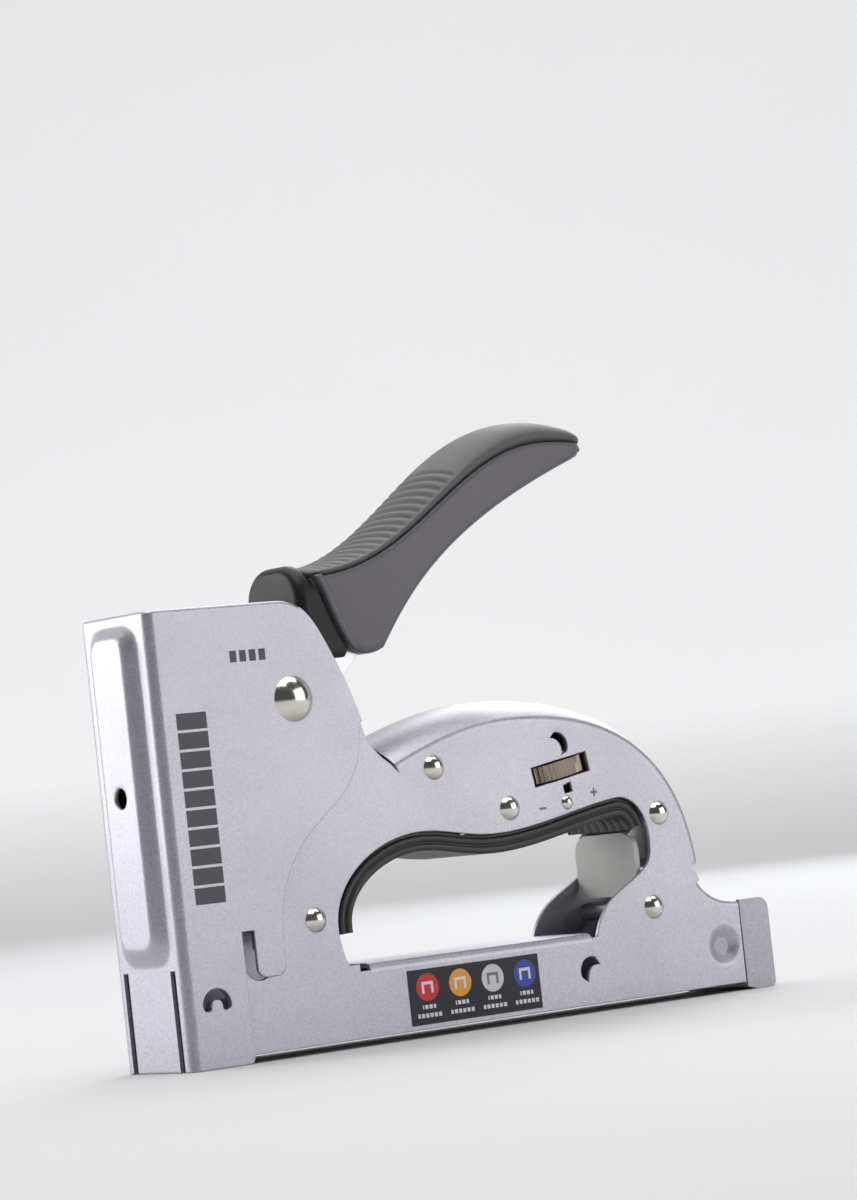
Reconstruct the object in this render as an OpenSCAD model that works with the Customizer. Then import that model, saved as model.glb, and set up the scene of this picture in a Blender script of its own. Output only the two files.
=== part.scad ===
// Hand tacker: pressed-steel staple gun with a squeeze lever, a finger loop and a rear-loading magazine.
// X runs from the nose to the tail, Y across the tool, Z up. The nose foot stands at the origin.

/* [Overall size] */
// Height of the head above the work surface
head_h = 109.6; // [104:0.1:132]
// Width across the nose cover
body_w = 30; // [27:0.5:37]
// Distance from the nose to the front end of the handle arch
head_l = 68.5; // [66:0.5:74]
// Length of the handle arch
handle_l = 91.8; // [86:0.2:112]
// Length of the tail behind the handle arch
tail_l = 21.7; // [20:0.1:27]
// Height of the handle arch at its side edge
arch_h = 75.7; // [74:0.1:80]

/* [Sheet metal] */
// Thickness of the nose cover
cover_t = 1.0; // [0.8:0.1:1.3]
// Thickness of the housing halves
sheet = 1.2; // [0.9:0.1:1.5]
// Outside bend radius of the nose edges
nose_bend = 2.5; // [2:0.1:3.5]
// Height of the handle's crown at its front end
crown_front = 6.7; // [5:0.1:8]
// Height of the handle's crown at the back
crown_rear = 3.2; // [2:0.1:4.5]

/* [Magazine beam] */
// Height of the beam's top face
beam_h = 20; // [19:0.1:22]
// Gap under the beam when the tool stands on its nose
foot_gap = 2; // [1:0.1:2.4]
// Width of a staple crown
staple_w = 11.4; // [10:0.1:12]
// Diameter of the pusher rod
rod_d = 3; // [2.4:0.1:3.4]

/* [Lever] */
// Distance from the pivot to the lever's tip
lever_l = 103.2; // [96:0.2:116]
// Width of the lever
lever_w = 26; // [24:0.2:28]
// Diameter of the pivot pin
pivot_d = 5; // [4.2:0.1:6]
// Diameter of the pivot pin's domed heads
pivot_head_d = 11.2; // [9:0.1:13]
// How far the lever turns when it is squeezed
squeeze_deg = 34.4; // [30:0.1:34.4]
// Distance from the pivot to the lifting fingers
finger_r = 24; // [23:0.1:24.5]
// Thickness of the lever's steel cheeks
cheek_t = 2.4; // [1.8:0.1:2.6]

/* [Striker] */
// Width of the driver blade
blade_w = 11.6; // [10:0.1:12]
// Thickness of the driver blade
blade_t = 1.2; // [0.9:0.1:1.3]
// Mean diameter of the drive spring
spring_d = 11.2; // [9:0.1:11.6]
// Wire diameter of the drive spring
spring_wire = 1.9; // [1.4:0.1:2]

/* [Power wheel] */
// How far the knurled wheel stands out of the housing's sides
wheel_proud = 0.6; // [0.2:0.1:1.4]
// Thickness of the knurled wheel
wheel_t = 4.2; // [3.2:0.1:4.4]
// Number of knurls round the wheel
knurls = 72; // [48:1:90]
// Gap between the wheel and each end of its window
window_gap = 2; // [0.6:0.1:3]
// Diameter of the power screw
screw_d = 6; // [5:0.1:7]

/* [Finger loop] */
// Front end of the finger loop
loop_x = 46.5; // [45.5:0.1:48]
// Thickness of the grip that lines the loop
liner_t = 4.6; // [3.6:0.1:5.2]

/* [Fasteners] */
// Diameter of the small rivet heads
rivet_head_d = 6.2; // [5.2:0.1:7]
// Diameter of the rivet shanks
rivet_d = 3; // [2.4:0.1:3.2]
// Diameter of the sleeves round the rivets
sleeve_d = 4.8; // [4.2:0.1:5]

/* [Hidden] */
$fn = 48;

// Gap round a shaft that turns in its hole, on the radius
running = 0.05;
// Gap round a shaft that stands still in its hole, on the radius
loose = 0.1;
// Gap between faces that pass each other
slip = 0.3;
// How far a cut runs past the face it opens
past = 1;

// Widths
half_w = body_w / 2;
shell_y = half_w - cover_t;
inner_y = shell_y - sheet;
inside_y = inner_y - 0.2;

// Stations along the tool
handle_end = head_l + handle_l;
tail_x = handle_end + tail_l;
cap_l = 9.8;
cap_x = tail_x - cap_l;
cap_top = 23.4;
function along(u) = head_l + u * handle_l;

// Corners of the head
round_x = 38;
slope_x = 52;
slope_z = head_h - 12.6;
neck = [60, arch_h + 0.8];
notch = [head_l, arch_h - 8.7];
arch_top = [along(0.4), arch_h];
shoulder = [handle_end, 34];

// Lever pivot and lifting fingers
pivot = [39.8, head_h - 24];
finger_drop = squeeze_deg / 2;
finger = pivot - finger_r * [cos(finger_drop), sin(finger_drop)];
finger_d = 6;
lift = 14;
cheek_out = 10.2;
cheek_in = cheek_out - cheek_t;

// Rivets: places along and up the housing
foot_rivet = [40, 32];
front_rivet = [along(0.125), arch_h - 10.1];
loop_rivet = [along(0.365), 53.5];
rear_rivet = [along(0.88), 48];
tail_rivet = [along(0.826), 24.4];
RIVETS = [foot_rivet, front_rivet, loop_rivet, rear_rivet, tail_rivet];

// Power wheel, its axis leans forward with the handle
wheel_at = [along(0.553), arch_h - 13.9];
wheel_tilt = 9;
wheel_d = 2 * (shell_y + wheel_proud);
window_l = 2 * sqrt(pow(wheel_d / 2, 2) - pow(inner_y, 2)) + 2 * window_gap;
window_h = 5;
bridge_gap = 0.5;
bridge_t = 1.5;
index_at = wheel_at + [0.9, -8.5];

// Striker and drive spring
blade_x = cover_t + 0.4;
striker_x = blade_x + blade_t;
striker_z = 44;
striker_floor = 4;
striker_wall = 3;
spring_x = striker_x + striker_wall + spring_d / 2 + spring_wire / 2 + 0.35;
spring_low = striker_z + striker_floor;
spring_high = head_h - 3.6;
striker_rear = finger[0] + 2.9;

// Magazine
guide_x = striker_x + slip;
guide_back = guide_x + 2.6;
rail_y = staple_w / 2 - 1;
rail_wall = 1;
rail_low = 4.5;
rail_top = 12.8;
staple_gap = 1.4;
channel_y = staple_w / 2 + 0.9;
channel_wall = 1.2;
channel_top = 16.2;
magazine_x = guide_back;
magazine_end = cap_x - 14;
plug_x = magazine_end + 2;
rod_z = 8;
pusher_x = magazine_x + 3.5;
pusher_l = 10;

// Magazine release: its front face, its arms' outer side and its hubs
release_x = rear_rivet[0] - 8.1;
release_y = 10.2;
release_hub = sleeve_d + 4.4;

// Specification label
label_x = 65;
label_l = 40.3;
label_z = 3.2;
label_h = 13.6;
label_t = 0.15;

// ---- Curves ----

// Points of a cubic curve from a to d, without d itself
function bez(a, b, c, d, n) = [
  for (i = [0:n - 1])
    let (t = i / n, u = 1 - t)
    u * u * u * a + 3 * u * u * t * b + 3 * u * t * t * c + t * t * t * d
];

// Points of an arc about c from angle a0 to a1
function arc(c, r, a0, a1, n) = [
  for (i = [0:n]) let (a = a0 + (a1 - a0) * i / n) c + r * [cos(a), sin(a)]
];

// Unit vector square to the path at point i, to its left
function path_normal(path, i) =
  let (
    a = path[max(i - 1, 0)],
    b = path[min(i + 1, len(path) - 1)],
    d = (b - a) / norm(b - a)
  )
  [-d[1], d[0]];

// ---- Outlines in the side view ----

// Side edge of the handle's crown, from the head to the shoulder
function arch_path() = concat(
  bez(notch, notch + [12, 4.9], arch_top - [13, 0], arch_top, 14),
  bez(arch_top, arch_top + [30, 0], shoulder + [-2.8, 31], shoulder, 22),
  [shoulder]
);

function head_edge(inset) = concat(
  bez([round_x, head_h - inset], [round_x + 7.5, head_h - inset],
      [slope_x - 3.5 - inset / 2, slope_z + 7], [slope_x - inset, slope_z], 10),
  bez([slope_x - inset, slope_z], [slope_x + 3.5 - inset, slope_z - 7], neck + [-1.6, 6], neck, 8)
);

module housing_outline() {
  top = head_h - cover_t - 0.05;
  front = nose_bend + 0.05;
  polygon(concat(
    [[front, foot_gap], [front, top]],
    head_edge(head_h - top),
    bez(neck, neck + [1, -3.7], notch + [-4.5, 2.3], notch, 5),
    arch_path(),
    [shoulder + [0.5, -2.5], shoulder + [-0.5, -4]],
    bez(shoulder + [-0.3, -4.6], shoulder + [1.5, -7.5], shoulder + [5, -10.5], [cap_x, cap_top], 8),
    [[cap_x, cap_top], [cap_x, foot_gap]]
  ));
}

module loop_outline() {
  rear_x = along(0.8366);
  polygon(concat(
    bez([loop_x + 2, beam_h], [loop_x + 0.5, 23.5], [loop_x - 0.2, 27], [loop_x, 30], 5),
    bez([loop_x, 30], [loop_x + 0.3, 41], [60, 50.2], [along(0.06), 50.2], 14),
    bez([along(0.06), 50.2], [along(0.147), 50.2], [along(0.212), 47.6], [along(0.31), 47.6], 8),
    bez([along(0.31), 47.6], [along(0.452), 47.6], [along(0.605), 52], [along(0.724), 53], 8),
    bez([along(0.724), 53], [along(0.724) + 5.5, 54], [rear_x, 49.5], [rear_x, 42], 8),
    bez([rear_x, 42], [rear_x, 35.5], [rear_x - 2, 34.5], [rear_x - 6, 32.2], 5),
    bez([rear_x - 6, 32.2], [rear_x - 13, 28.5], [rear_x - 17.5, 27], [rear_x - 20.3, 18.8], 8),
    [[rear_x - 20.3, 18.8], [rear_x - 22, 18.8], [rear_x - 22, beam_h]]
  ));
}

module cover_outline() {
  seam_x = 17.8;
  tab_x = 29.5;
  slot_z = 31.4;
  slot_w = 3.4;
  join = [58.3, neck[1] + 1.5];
  polygon(concat(
    [[0, 0], [0, head_h]],
    head_edge(0),
    bez(join, join + [-0.5, -12], [52, 61.5], [47, 58], 8),
    bez([47, 58], [36, 50.3], [tab_x, 42], [tab_x, 28], 12),
    arc([tab_x - 2.5, 22.5], 2.5, 0, -90, 5),
    arc([seam_x + slot_w + 2.5, 22.5], 2.5, -90, -180, 5),
    [[seam_x + slot_w, slot_z], [seam_x, slot_z]],
    arc([seam_x - 1.5, 1.5], 1.5, 0, -90, 4)
  ));
}

// Side view of the lever's lower plastic shell
lever_tip = [pivot[0] + lever_l, pivot[1] + 58];
function lever_at(dx, dz) = pivot + [dx * lever_l / 103.2, dz];
shell_front = pivot + [11.7, 29.6];
shell_nose = pivot + [20.3, 11.8];
groove_end = lever_at(87.8, 59.6);

function groove_path() = concat(
  bez(shell_front, lever_at(43.7, 29.9), lever_at(59, 60.1), groove_end, 16),
  bez(groove_end, groove_end + [5, 0], lever_tip + [-5, 1.2], lever_tip, 5),
  [lever_tip]
);

function underside_path() = concat(
  bez(shell_nose, shell_nose + [2, -2.8], shell_nose + [7, -2.8], pivot + [30.7, 10.7], 6),
  bez(pivot + [30.7, 10.7], lever_at(41.9, 25.9), lever_at(55.1, 40.3), lever_at(98.1, 55.4), 16),
  [lever_at(98.1, 55.4), lever_tip]
);

// Front edge of the shell, moved forward by a gap
function shell_front_edge(gap) = bez(
  shell_front - [gap, 0], pivot + [14.6 - gap, 26.2], pivot + [15.4 - gap, 18.6], shell_nose - [gap, 0], 8);

function reversed(list) = [for (i = [len(list) - 1:-1:0]) list[i]];

module shell_outline() {
  polygon(concat(shell_front_edge(0), underside_path(), reversed(groove_path())));
}

// Side view of one steel cheek: a chain of rounded links from the fingers to the grip
CHEEK = [
  [finger + [7.1, 2.2], 2.2], [pivot, 8], [pivot + [14.2, 8], 5.5],
  [pivot + [26.2, 19.6], 5.5], [lever_at(45.2, 36), 2.8]
];

module cheek_outline(grow) {
  hull() {
    translate(finger) circle(1.6 + grow, $fn = 32);
    translate(CHEEK[0][0]) circle(CHEEK[0][1] + grow, $fn = 32);
  }
  for (i = [0:len(CHEEK) - 2])
    hull() {
      translate(CHEEK[i][0]) circle(CHEEK[i][1] + grow, $fn = 32);
      translate(CHEEK[i + 1][0]) circle(CHEEK[i + 1][1] + grow, $fn = 32);
    }
}

// ---- Building blocks ----

// Extrudes a side view between two depths
module slab(y0, y1) {
  rotate([90, 0, 0]) translate([0, 0, -y1]) linear_extrude(y1 - y0) children();
}

module both_sides() {
  children();
  mirror([0, 1, 0]) children();
}

// Round bar across the tool
module cross_bar(at, d, y0, y1) {
  translate([at[0], y1, at[1]]) rotate([90, 0, 0]) cylinder(h = y1 - y0, d = d);
}

// Domed head that faces -Y and sits on the plane y = -face
module dome(at, d, h, face) {
  r = (d * d / 4 + h * h) / (2 * h);
  translate([at[0], -face, at[1]]) rotate([90, 0, 0])
    intersection() {
      translate([0, 0, h - r]) sphere(r);
      cylinder(h = h + past, d = d);
    }
}

// Closed skin through a list of equal rings of points
module skin(rings) {
  m = len(rings[0]);
  n = len(rings);
  sides = [
    for (i = [0:n - 2], j = [0:m - 1])
      let (a = i * m + j, b = i * m + (j + 1) % m)
      each [[a, b + m, b], [a, a + m, b + m]]
  ];
  cap = [
    for (j = [0:floor((m - 1) / 2) - 1])
      each concat([[j, j + 1, m - 1 - j]], j + 1 < m - 2 - j ? [[j + 1, m - 2 - j, m - 1 - j]] : [])
  ];
  far_cap = [for (t = cap) [for (i = [2:-1:0]) (n - 1) * m + t[i]]];
  polyhedron(points = [for (r = rings) each r], faces = concat(sides, cap, far_cap), convexity = 6);
}

// Section of round wire on a coil about the Z axis, moved along its own tangent by slide
function wire_ring(d, wire, a, z, slide, sides) = [
  for (j = [0:sides - 1])
    let (b = 360 * j / sides, r = d / 2 + wire / 2 * cos(b))
    [r * cos(a) - slide * sin(a), r * sin(a) + slide * cos(a), z + wire / 2 * sin(b)]
];

// Coil of round wire up the Z axis, with straight tangent legs
module coil(d, wire, z0, z1, turns, steps, sides, leg = 0) {
  count = ceil(turns * steps);
  end = 360 * turns;
  rings = [
    for (i = [0:count]) wire_ring(d, wire, end * i / count, z0 + (z1 - z0) * i / count, 0, sides)
  ];
  first = [for (k = leg > 0 ? [1] : []) wire_ring(d, wire, 0, z0, -leg, sides)];
  last = [for (k = leg > 0 ? [1] : []) wire_ring(d, wire, end, z1, leg, sides)];
  skin(concat(first, rings, last));
}

module on_wheel_axis() {
  translate([wheel_at[0], 0, wheel_at[1]]) rotate([0, -wheel_tilt, 0]) children();
}

// ---- Housing ----

// Height of the crown over its side edge, u from 0 at the front to 1 at the back
function crown_height(u) = crown_front + (crown_rear - crown_front) * u;

// Ring across the crown: over the outside from left to right and back under the sheet
function crown_ring(p, up, h) =
  let (
    steps = 16,
    seat = 0.02,
    outer = crown_arc(shell_y, h, steps),
    inner = crown_arc(inner_y, h - sheet, steps)
  )
  [
    for (q = concat(outer, [for (k = [steps:-1:0]) inner[k]]))
      [p[0] + up[0] * (q[1] + seat), q[0], p[1] + up[1] * (q[1] + seat)]
  ];

// Arc of height h over the span from -w to w
function crown_arc(w, h, steps) =
  let (r = (w * w + h * h) / (2 * h), reach = asin(w / r))
  [for (k = [0:steps]) let (a = reach * (2 * k / steps - 1)) [r * sin(a), h - r + r * cos(a)]];

module handle_crown() {
  path = arch_path();
  last = len(path) - 1;
  color([0.62, 0.62, 0.67])
    skin([for (i = [0:last]) crown_ring(path[i], path_normal(path, i), crown_height(i / last))]);
}

module side_plate() {
  difference() {
    slab(-shell_y, -inner_y) difference() {
      housing_outline();
      loop_outline();
      cover_window();
      kidney(loose);
      crescents();
    }
    for (at = RIVETS)
      cross_bar(at, rivet_d + 2 * loose, -shell_y - past, -inner_y + past);
    cross_bar(pivot, pivot_d + 2 * loose, -shell_y - past, -inner_y + past);
    cross_bar(index_at, 1.8 + 2 * loose, -shell_y - past, -inner_y + past);
    on_wheel_axis() {
      cube([window_l, 2 * shell_y + 2 * past, window_h], center = true);
      translate([0.9, 0, -window_h]) cube([2.5, 2 * shell_y + 2 * past, 2.4], center = true);
    }
  }
}

// Opening beside the nose cover's locking tab
module cover_window() {
  translate([17.9, 22.3]) square([3.6, 9.1]);
  translate([22.2, 23.4]) circle(4);
}

// Kidney-shaped peg hole near the nose foot
module kidney(grow) {
  at = [8.65, 14.9];
  lobe = 1.3;
  difference() {
    union() {
      intersection() {
        translate(at) circle(4.05 + grow);
        translate(at - [5, 0]) square([10, 5]);
      }
      for (s = [-1, 1])
        translate(at + [s * 2.65, 0.1]) circle(lobe + grow);
      translate(at - [2.65, 1.2]) square([5.3, 2]);
    }
    translate(at - [0, 1.2]) circle(lobe - grow);
  }
}

// Two crescent slots, one in the handle and one in the beam
module crescents() {
  translate(wheel_at + [-0.4, 6]) rotate(-12) crescent(3.4, 1.6);
  translate([along(0.586), 10.5]) rotate(90) crescent(3.6, 2.1);
}

module crescent(r, w) {
  intersection() {
    difference() {
      circle(r);
      translate([-w, -w]) circle(r);
    }
    translate([-r, -w]) square([2 * r, r + w]);
  }
}

module beam_flange() {
  bend = 2.2;
  x0 = loop_x + 8;
  x1 = along(0.8366) - 22;
  translate([x0, 0, 0]) rotate([90, 0, 90]) linear_extrude(x1 - x0)
    polygon(concat(
      arc([-shell_y + bend, beam_h - bend], bend, 180, 90, 8),
      [[0, beam_h], [0, beam_h - sheet]],
      arc([-shell_y + bend, beam_h - bend], bend - sheet, 90, 180, 8)
    ));
}

module tail_flange() {
  intersection() {
    slab(-inner_y, 0) difference() {
      housing_outline();
      translate([-0.4, -sheet]) housing_outline();
    }
    translate([handle_end - 0.4, -shell_y, cap_top - 1]) cube([cap_x - handle_end, shell_y, 8]);
  }
}

module half_housing() {
  x1 = along(0.8366) - 22;
  difference() {
    side_plate();
    translate([loop_x + 5, -shell_y - past, beam_h - 1.7])
      cube([3.5, sheet + 2 * past, 1.5]);
    translate([loop_x + 8, -shell_y - past, beam_h - 2.2])
      cube([x1 - loop_x - 8, sheet + 2 * past, 2.4]);
  }
  beam_flange();
  tail_flange();
}

module left_housing() {
  color([0.78, 0.77, 0.81]) half_housing();
}

module right_housing() {
  color([0.78, 0.77, 0.81]) mirror([0, 1, 0]) half_housing();
}

// ---- Nose cover ----

module panel(w, z0, z1, r, x0, x1) {
  translate([x0, 0, 0]) rotate([90, 0, 90]) linear_extrude(x1 - x0)
    translate([0, (z0 + z1) / 2]) rounded_box(w, z1 - z0, r);
}

module rounded_box(w, h, r) {
  square([w, h - 2 * r], center = true);
  square([w - 2 * r, h], center = true);
  for (sx = [-1, 1], sy = [-1, 1])
    translate([sx * (w / 2 - r), sy * (h / 2 - r)]) circle(r);
}

// Pressed rib that stands out from the nose, or its hollow when set back by the sheet
module nose_rib(set_back) {
  top = head_h - 2.1;
  hull() {
    panel(21.4 - 2 * set_back, 25.3 + set_back, top - set_back, 5, set_back, set_back + 0.2);
    panel(12.6 - 2 * set_back, 29.8 + set_back, top - 4 - set_back, 5, set_back - 2.8, set_back - 2.7);
  }
}

module cover_plan(inset) {
  r = nose_bend - inset;
  x1 = head_l;
  translate([inset, -half_w + inset]) {
    translate([r, 0]) square([x1, body_w - 2 * inset]);
    translate([0, r]) square([2 * r, body_w - 2 * inset - 2 * r]);
    translate([r, r]) circle(r);
    translate([r, body_w - 2 * inset - r]) circle(r);
  }
}

module nose_cover() {
  slit_w = 2.2;
  slit_y = 10.4;
  top_x = 44.5;
  color([0.83, 0.82, 0.86]) difference() {
    union() {
      difference() {
        intersection() {
          linear_extrude(head_h) cover_plan(0);
          slab(-half_w - past, half_w + past) cover_outline();
        }
        translate([0, 0, -past]) linear_extrude(head_h - cover_t + past) cover_plan(cover_t);
        translate([top_x, -half_w + cover_t, head_h / 2])
          cube([head_l, body_w - 2 * cover_t, head_h]);
      }
      nose_rib(0);
    }
    nose_rib(cover_t);
    for (s = [-1, 1])
      translate([-past, s * slit_y - slit_w / 2, -past]) cube([cover_t + 2 * past, slit_w, 24.2 + past]);
    translate([-5, 0, 66]) rotate([0, 90, 0]) cylinder(h = 8, d = 5);
    slab(-half_w - past, half_w + past) kidney(0);
    cross_bar(pivot, pivot_d + 2 * loose, -half_w - past, half_w + past);
    translate([-past, -1.5, head_h - 0.8]) cube([past + 1.6, 3, 2]);
  }
}

// ---- Pins and rivets ----

module lever_pin() {
  color([0.80, 0.78, 0.74]) {
    cross_bar(pivot, pivot_d, -half_w - 0.1, half_w + 0.1);
    both_sides() dome(pivot, pivot_head_d, 2.6, half_w);
  }
}

module housing_rivets() {
  color([0.86, 0.84, 0.80])
    for (at = RIVETS) {
      cross_bar(at, rivet_d, -shell_y - 0.1, shell_y + 0.1);
      both_sides() dome(at, rivet_head_d, 1.8, shell_y);
    }
}

module spacer_sleeves() {
  color([0.62, 0.62, 0.64])
    for (at = RIVETS)
      difference() {
        cross_bar(at, sleeve_d, -inner_y, inner_y);
        cross_bar(at, rivet_d + 2 * running, -inner_y - past, inner_y + past);
      }
}

module index_pin() {
  color([0.92, 0.90, 0.86]) both_sides() {
    cross_bar(index_at, 1.8, -shell_y - 0.1, -inner_y);
    dome(index_at, 3.6, 1.1, shell_y);
  }
}

// ---- Nose works ----

module driver_guide() {
  shelf_z = 36;
  color([0.50, 0.51, 0.53]) difference() {
    union() {
      translate([cover_t + 0.1, -inside_y, 0]) cube([guide_back - cover_t - 0.1, 2 * inside_y, 40]);
      translate([guide_back - past, -inside_y, shelf_z]) cube([17, 2 * inside_y, 2]);
    }
    translate([0, -blade_w / 2 - slip, -past]) cube([guide_x, blade_w + 2 * slip, 42]);
    staple_throat();
    slit_clearance();
  }
}

// Arch through which the staples reach the driver
module staple_throat() {
  translate([0, -staple_w / 2 - 0.4, -past])
    cube([guide_back + past, staple_w + 0.8, rail_top + staple_gap + past]);
}

// Rounds off the guide's front corners under the bent cover
module slit_clearance() {
  difference() {
    translate([0, -half_w, -past]) cube([nose_bend, body_w, 42]);
    translate([0, 0, -2 * past]) linear_extrude(50) cover_plan(cover_t + 0.1);
  }
}

module bumper() {
  color([0.10, 0.10, 0.11]) translate([guide_back + 0.5, -7, 38]) {
    cube([13.5, 14, striker_z - 38 - slip]);
  }
}

module drive_spring() {
  color([0.45, 0.45, 0.47]) translate([spring_x, 0, 0])
    coil(spring_d, spring_wire, spring_low + spring_wire / 2 + 0.1, spring_high - spring_wire / 2 - 0.1, 9, 20, 8);
}

module spring_cap() {
  boss_d = spring_d - spring_wire - 0.6;
  color([0.56, 0.56, 0.58]) {
    translate([cover_t + 2, -inside_y, spring_high])
      cube([20, 2 * inside_y, head_h - cover_t - 0.1 - spring_high]);
    translate([spring_x, 0, spring_high - 3]) cylinder(h = 3.5, d = boss_d);
  }
}

module driver_blade() {
  color([0.58, 0.58, 0.60]) difference() {
    translate([blade_x, -blade_w / 2, 1]) cube([blade_t, blade_w, 59]);
    for (z = [50, 56])
      translate([0, 0, z]) rotate([0, 90, 0]) cylinder(h = 10, d = 3);
  }
}

module striker() {
  wall_y = cheek_out + slip;
  lug_in = cheek_in - slip;
  wall_top = finger[1] + 5.5;
  slot_front = finger[0] - finger_d / 2 - 1.7;
  boss_d = spring_d - spring_wire - 0.6;
  color([0.48, 0.48, 0.50]) {
    difference() {
      union() {
        translate([striker_x, -wall_y, striker_z]) cube([striker_wall, 2 * wall_y, wall_top - striker_z]);
        translate([striker_x + 1, -7, striker_z]) cube([striker_rear - striker_x - 1, 14, striker_floor]);
        for (s = [-1, 1])
          translate([striker_x + 1, s * (wall_y + lug_in) / 2 - (wall_y - lug_in) / 2, finger[1] - 5.5])
            cube([striker_rear - striker_x - 1, wall_y - lug_in, 11]);
      }
      translate([slot_front, -wall_y - past, finger[1] - finger_d / 2 - slip])
        cube([20, 2 * wall_y + 2 * past, finger_d + 2 * slip]);
    }
    translate([spring_x, 0, spring_low - 0.5]) cylinder(h = 3.5, d = boss_d);
    for (z = [50, 56])
      translate([blade_x - 0.1, 0, z]) rotate([0, 90, 0]) cylinder(h = striker_wall, d = 2.8);
  }
}

// ---- Lever ----

module lever_core() {
  color([0.72, 0.71, 0.75]) {
    difference() {
      union() {
        slab(-cheek_out, cheek_out) cheek_outline(0);
        cross_bar(finger, finger_d, -cheek_out, cheek_out);
      }
      translate([0, -cheek_in, 0]) cube([tail_x, 2 * cheek_in, 2 * head_h]);
      cross_bar(pivot, pivot_d + 2 * running, -half_w, half_w);
    }
    for (k = [3, 4])
      cross_bar(CHEEK[k][0], 4, -cheek_in - 0.2, cheek_in + 0.2);
  }
}

module head_block_outline() {
  front = pivot[0] + 6.8;
  top = pivot[1] + 32.9;
  corner = 3;
  gap = 0.9;
  polygon(concat(
    [[front, pivot[1] + 12]],
    arc([front + corner, top - corner], corner, 180, 90, 6),
    [shell_front + [-gap, 3.1]],
    shell_front_edge(gap),
    [shell_nose + [-gap, 0], shell_nose + [-gap, -2.6], pivot + [14, 9.4]]
  ));
}

// Front view of the head block: rounded upper corners
module head_block_front(w) {
  top = pivot[1] + 32.9;
  corner = 9;
  polygon(concat(
    arc([w - corner, top - corner], corner, 0, 90, 8),
    arc([corner - w, top - corner], corner, 90, 180, 8),
    [[-w, pivot[1]], [w, pivot[1]]]
  ));
}

module lever_head() {
  color([0.07, 0.07, 0.075]) difference() {
    intersection() {
      slab(-inner_y + 0.8, inner_y - 0.8) head_block_outline();
      translate([pivot[0], 0, 0]) rotate([90, 0, 90]) linear_extrude(40) head_block_front(inner_y - 0.8);
    }
    difference() {
      slab(-cheek_out - 0.2, cheek_out + 0.2) cheek_outline(0.2);
      translate([0, -cheek_in + 0.2, 0]) cube([tail_x, 2 * cheek_in - 0.4, 2 * head_h]);
    }
  }
}

// Plan of the lever: parallel sides and a rounded tip
module lever_plan(w) {
  tip_l = 8;
  x1 = lever_tip[0];
  y = w / 2;
  polygon(concat(
    [[pivot[0] - 20, -y]],
    bez([x1 - tip_l, -y], [x1 - tip_l * 0.42, -y], [x1, -y * 0.55], [x1, 0], 8),
    bez([x1, 0], [x1, y * 0.55], [x1 - tip_l * 0.42, y], [x1 - tip_l, y], 8),
    [[x1 - tip_l, y], [pivot[0] - 20, y]]
  ));
}

module lever_shell() {
  color([0.42, 0.41, 0.44]) difference() {
    intersection() {
      slab(-lever_w / 2, lever_w / 2) shell_outline();
      translate([0, 0, pivot[1]]) linear_extrude(100) lever_plan(lever_w);
    }
    slab(-cheek_out - 0.3, cheek_out + 0.3) cheek_outline(0.3);
  }
}

// Height of the soft crown over the groove, by the share of the groove's length
function grip_height(u) = 2.7 + 3.5 * abs(sin(180 * u ^ 2.1)) ^ 1.2;

// Half width of the grip at x, drawn in at the tip
function grip_y(x) =
  let (tip_l = 8, d = max(0, x - (lever_tip[0] - tip_l)) / tip_l)
  (lever_w / 2) * sqrt(max(0.004, 1 - d * d));

module lever_grip() {
  steps = 12;
  path = groove_path();
  last = len(path) - 1;
  rings = [
    for (i = [0:last])
      let (
        up = path_normal(path, i),
        y = grip_y(path[i][0]),
        h = grip_height(i / last) * min(1, y / 8)
      )
      [
        for (k = [0:steps])
          let (a = 180 * k / steps, rise = 0.05 + h * sin(a) ^ 0.8)
          [path[i][0] + up[0] * rise, -y * cos(a), path[i][1] + up[1] * rise]
      ]
  ];
  color([0.36, 0.37, 0.37]) skin([for (i = [len(rings) - 1:-1:0]) rings[i]]);
}

module lever_return_spring() {
  color([0.45, 0.45, 0.47]) translate([pivot[0], 0, pivot[1]]) rotate([90, 0, 0])
    coil(9.4, 1.2, -5.5, 5.5, 5.75, 16, 6, 7);
}

// ---- Power wheel ----

module power_wheel() {
  root = wheel_d / 2 - 0.55;
  color([0.66, 0.60, 0.52]) on_wheel_axis() difference() {
    union() {
      translate([0, 0, -wheel_t / 2]) linear_extrude(wheel_t)
        polygon([
          for (i = [0:2 * knurls - 1])
            let (a = 180 * i / knurls, r = i % 2 == 0 ? wheel_d / 2 : root)
            r * [cos(a), sin(a)]
        ]);
      translate([0, 0, -wheel_t / 2 - 0.2]) cylinder(h = wheel_t + 0.4, d = screw_d + 6);
    }
    translate([0, 0, -wheel_t]) cylinder(h = 2 * wheel_t, d = screw_d + 2 * running);
  }
}

module power_screw() {
  color([0.60, 0.60, 0.62]) on_wheel_axis() {
    translate([0, 0, -5.5]) cylinder(h = 10.5, d = screw_d);
    translate([0, 0, -5.9]) cylinder(h = 0.8, d = screw_d + 2);
  }
}

module wheel_bridges() {
  low = wheel_t / 2 + bridge_gap;
  color([0.60, 0.60, 0.62]) on_wheel_axis()
    for (s = [0, 1])
      mirror([0, 0, s]) difference() {
        translate([-5, -inner_y, low]) cube([10, 2 * inner_y, bridge_t]);
        translate([0, 0, low - past]) cylinder(h = bridge_t + 2 * past, d = screw_d + 0.4);
      }
}

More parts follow.
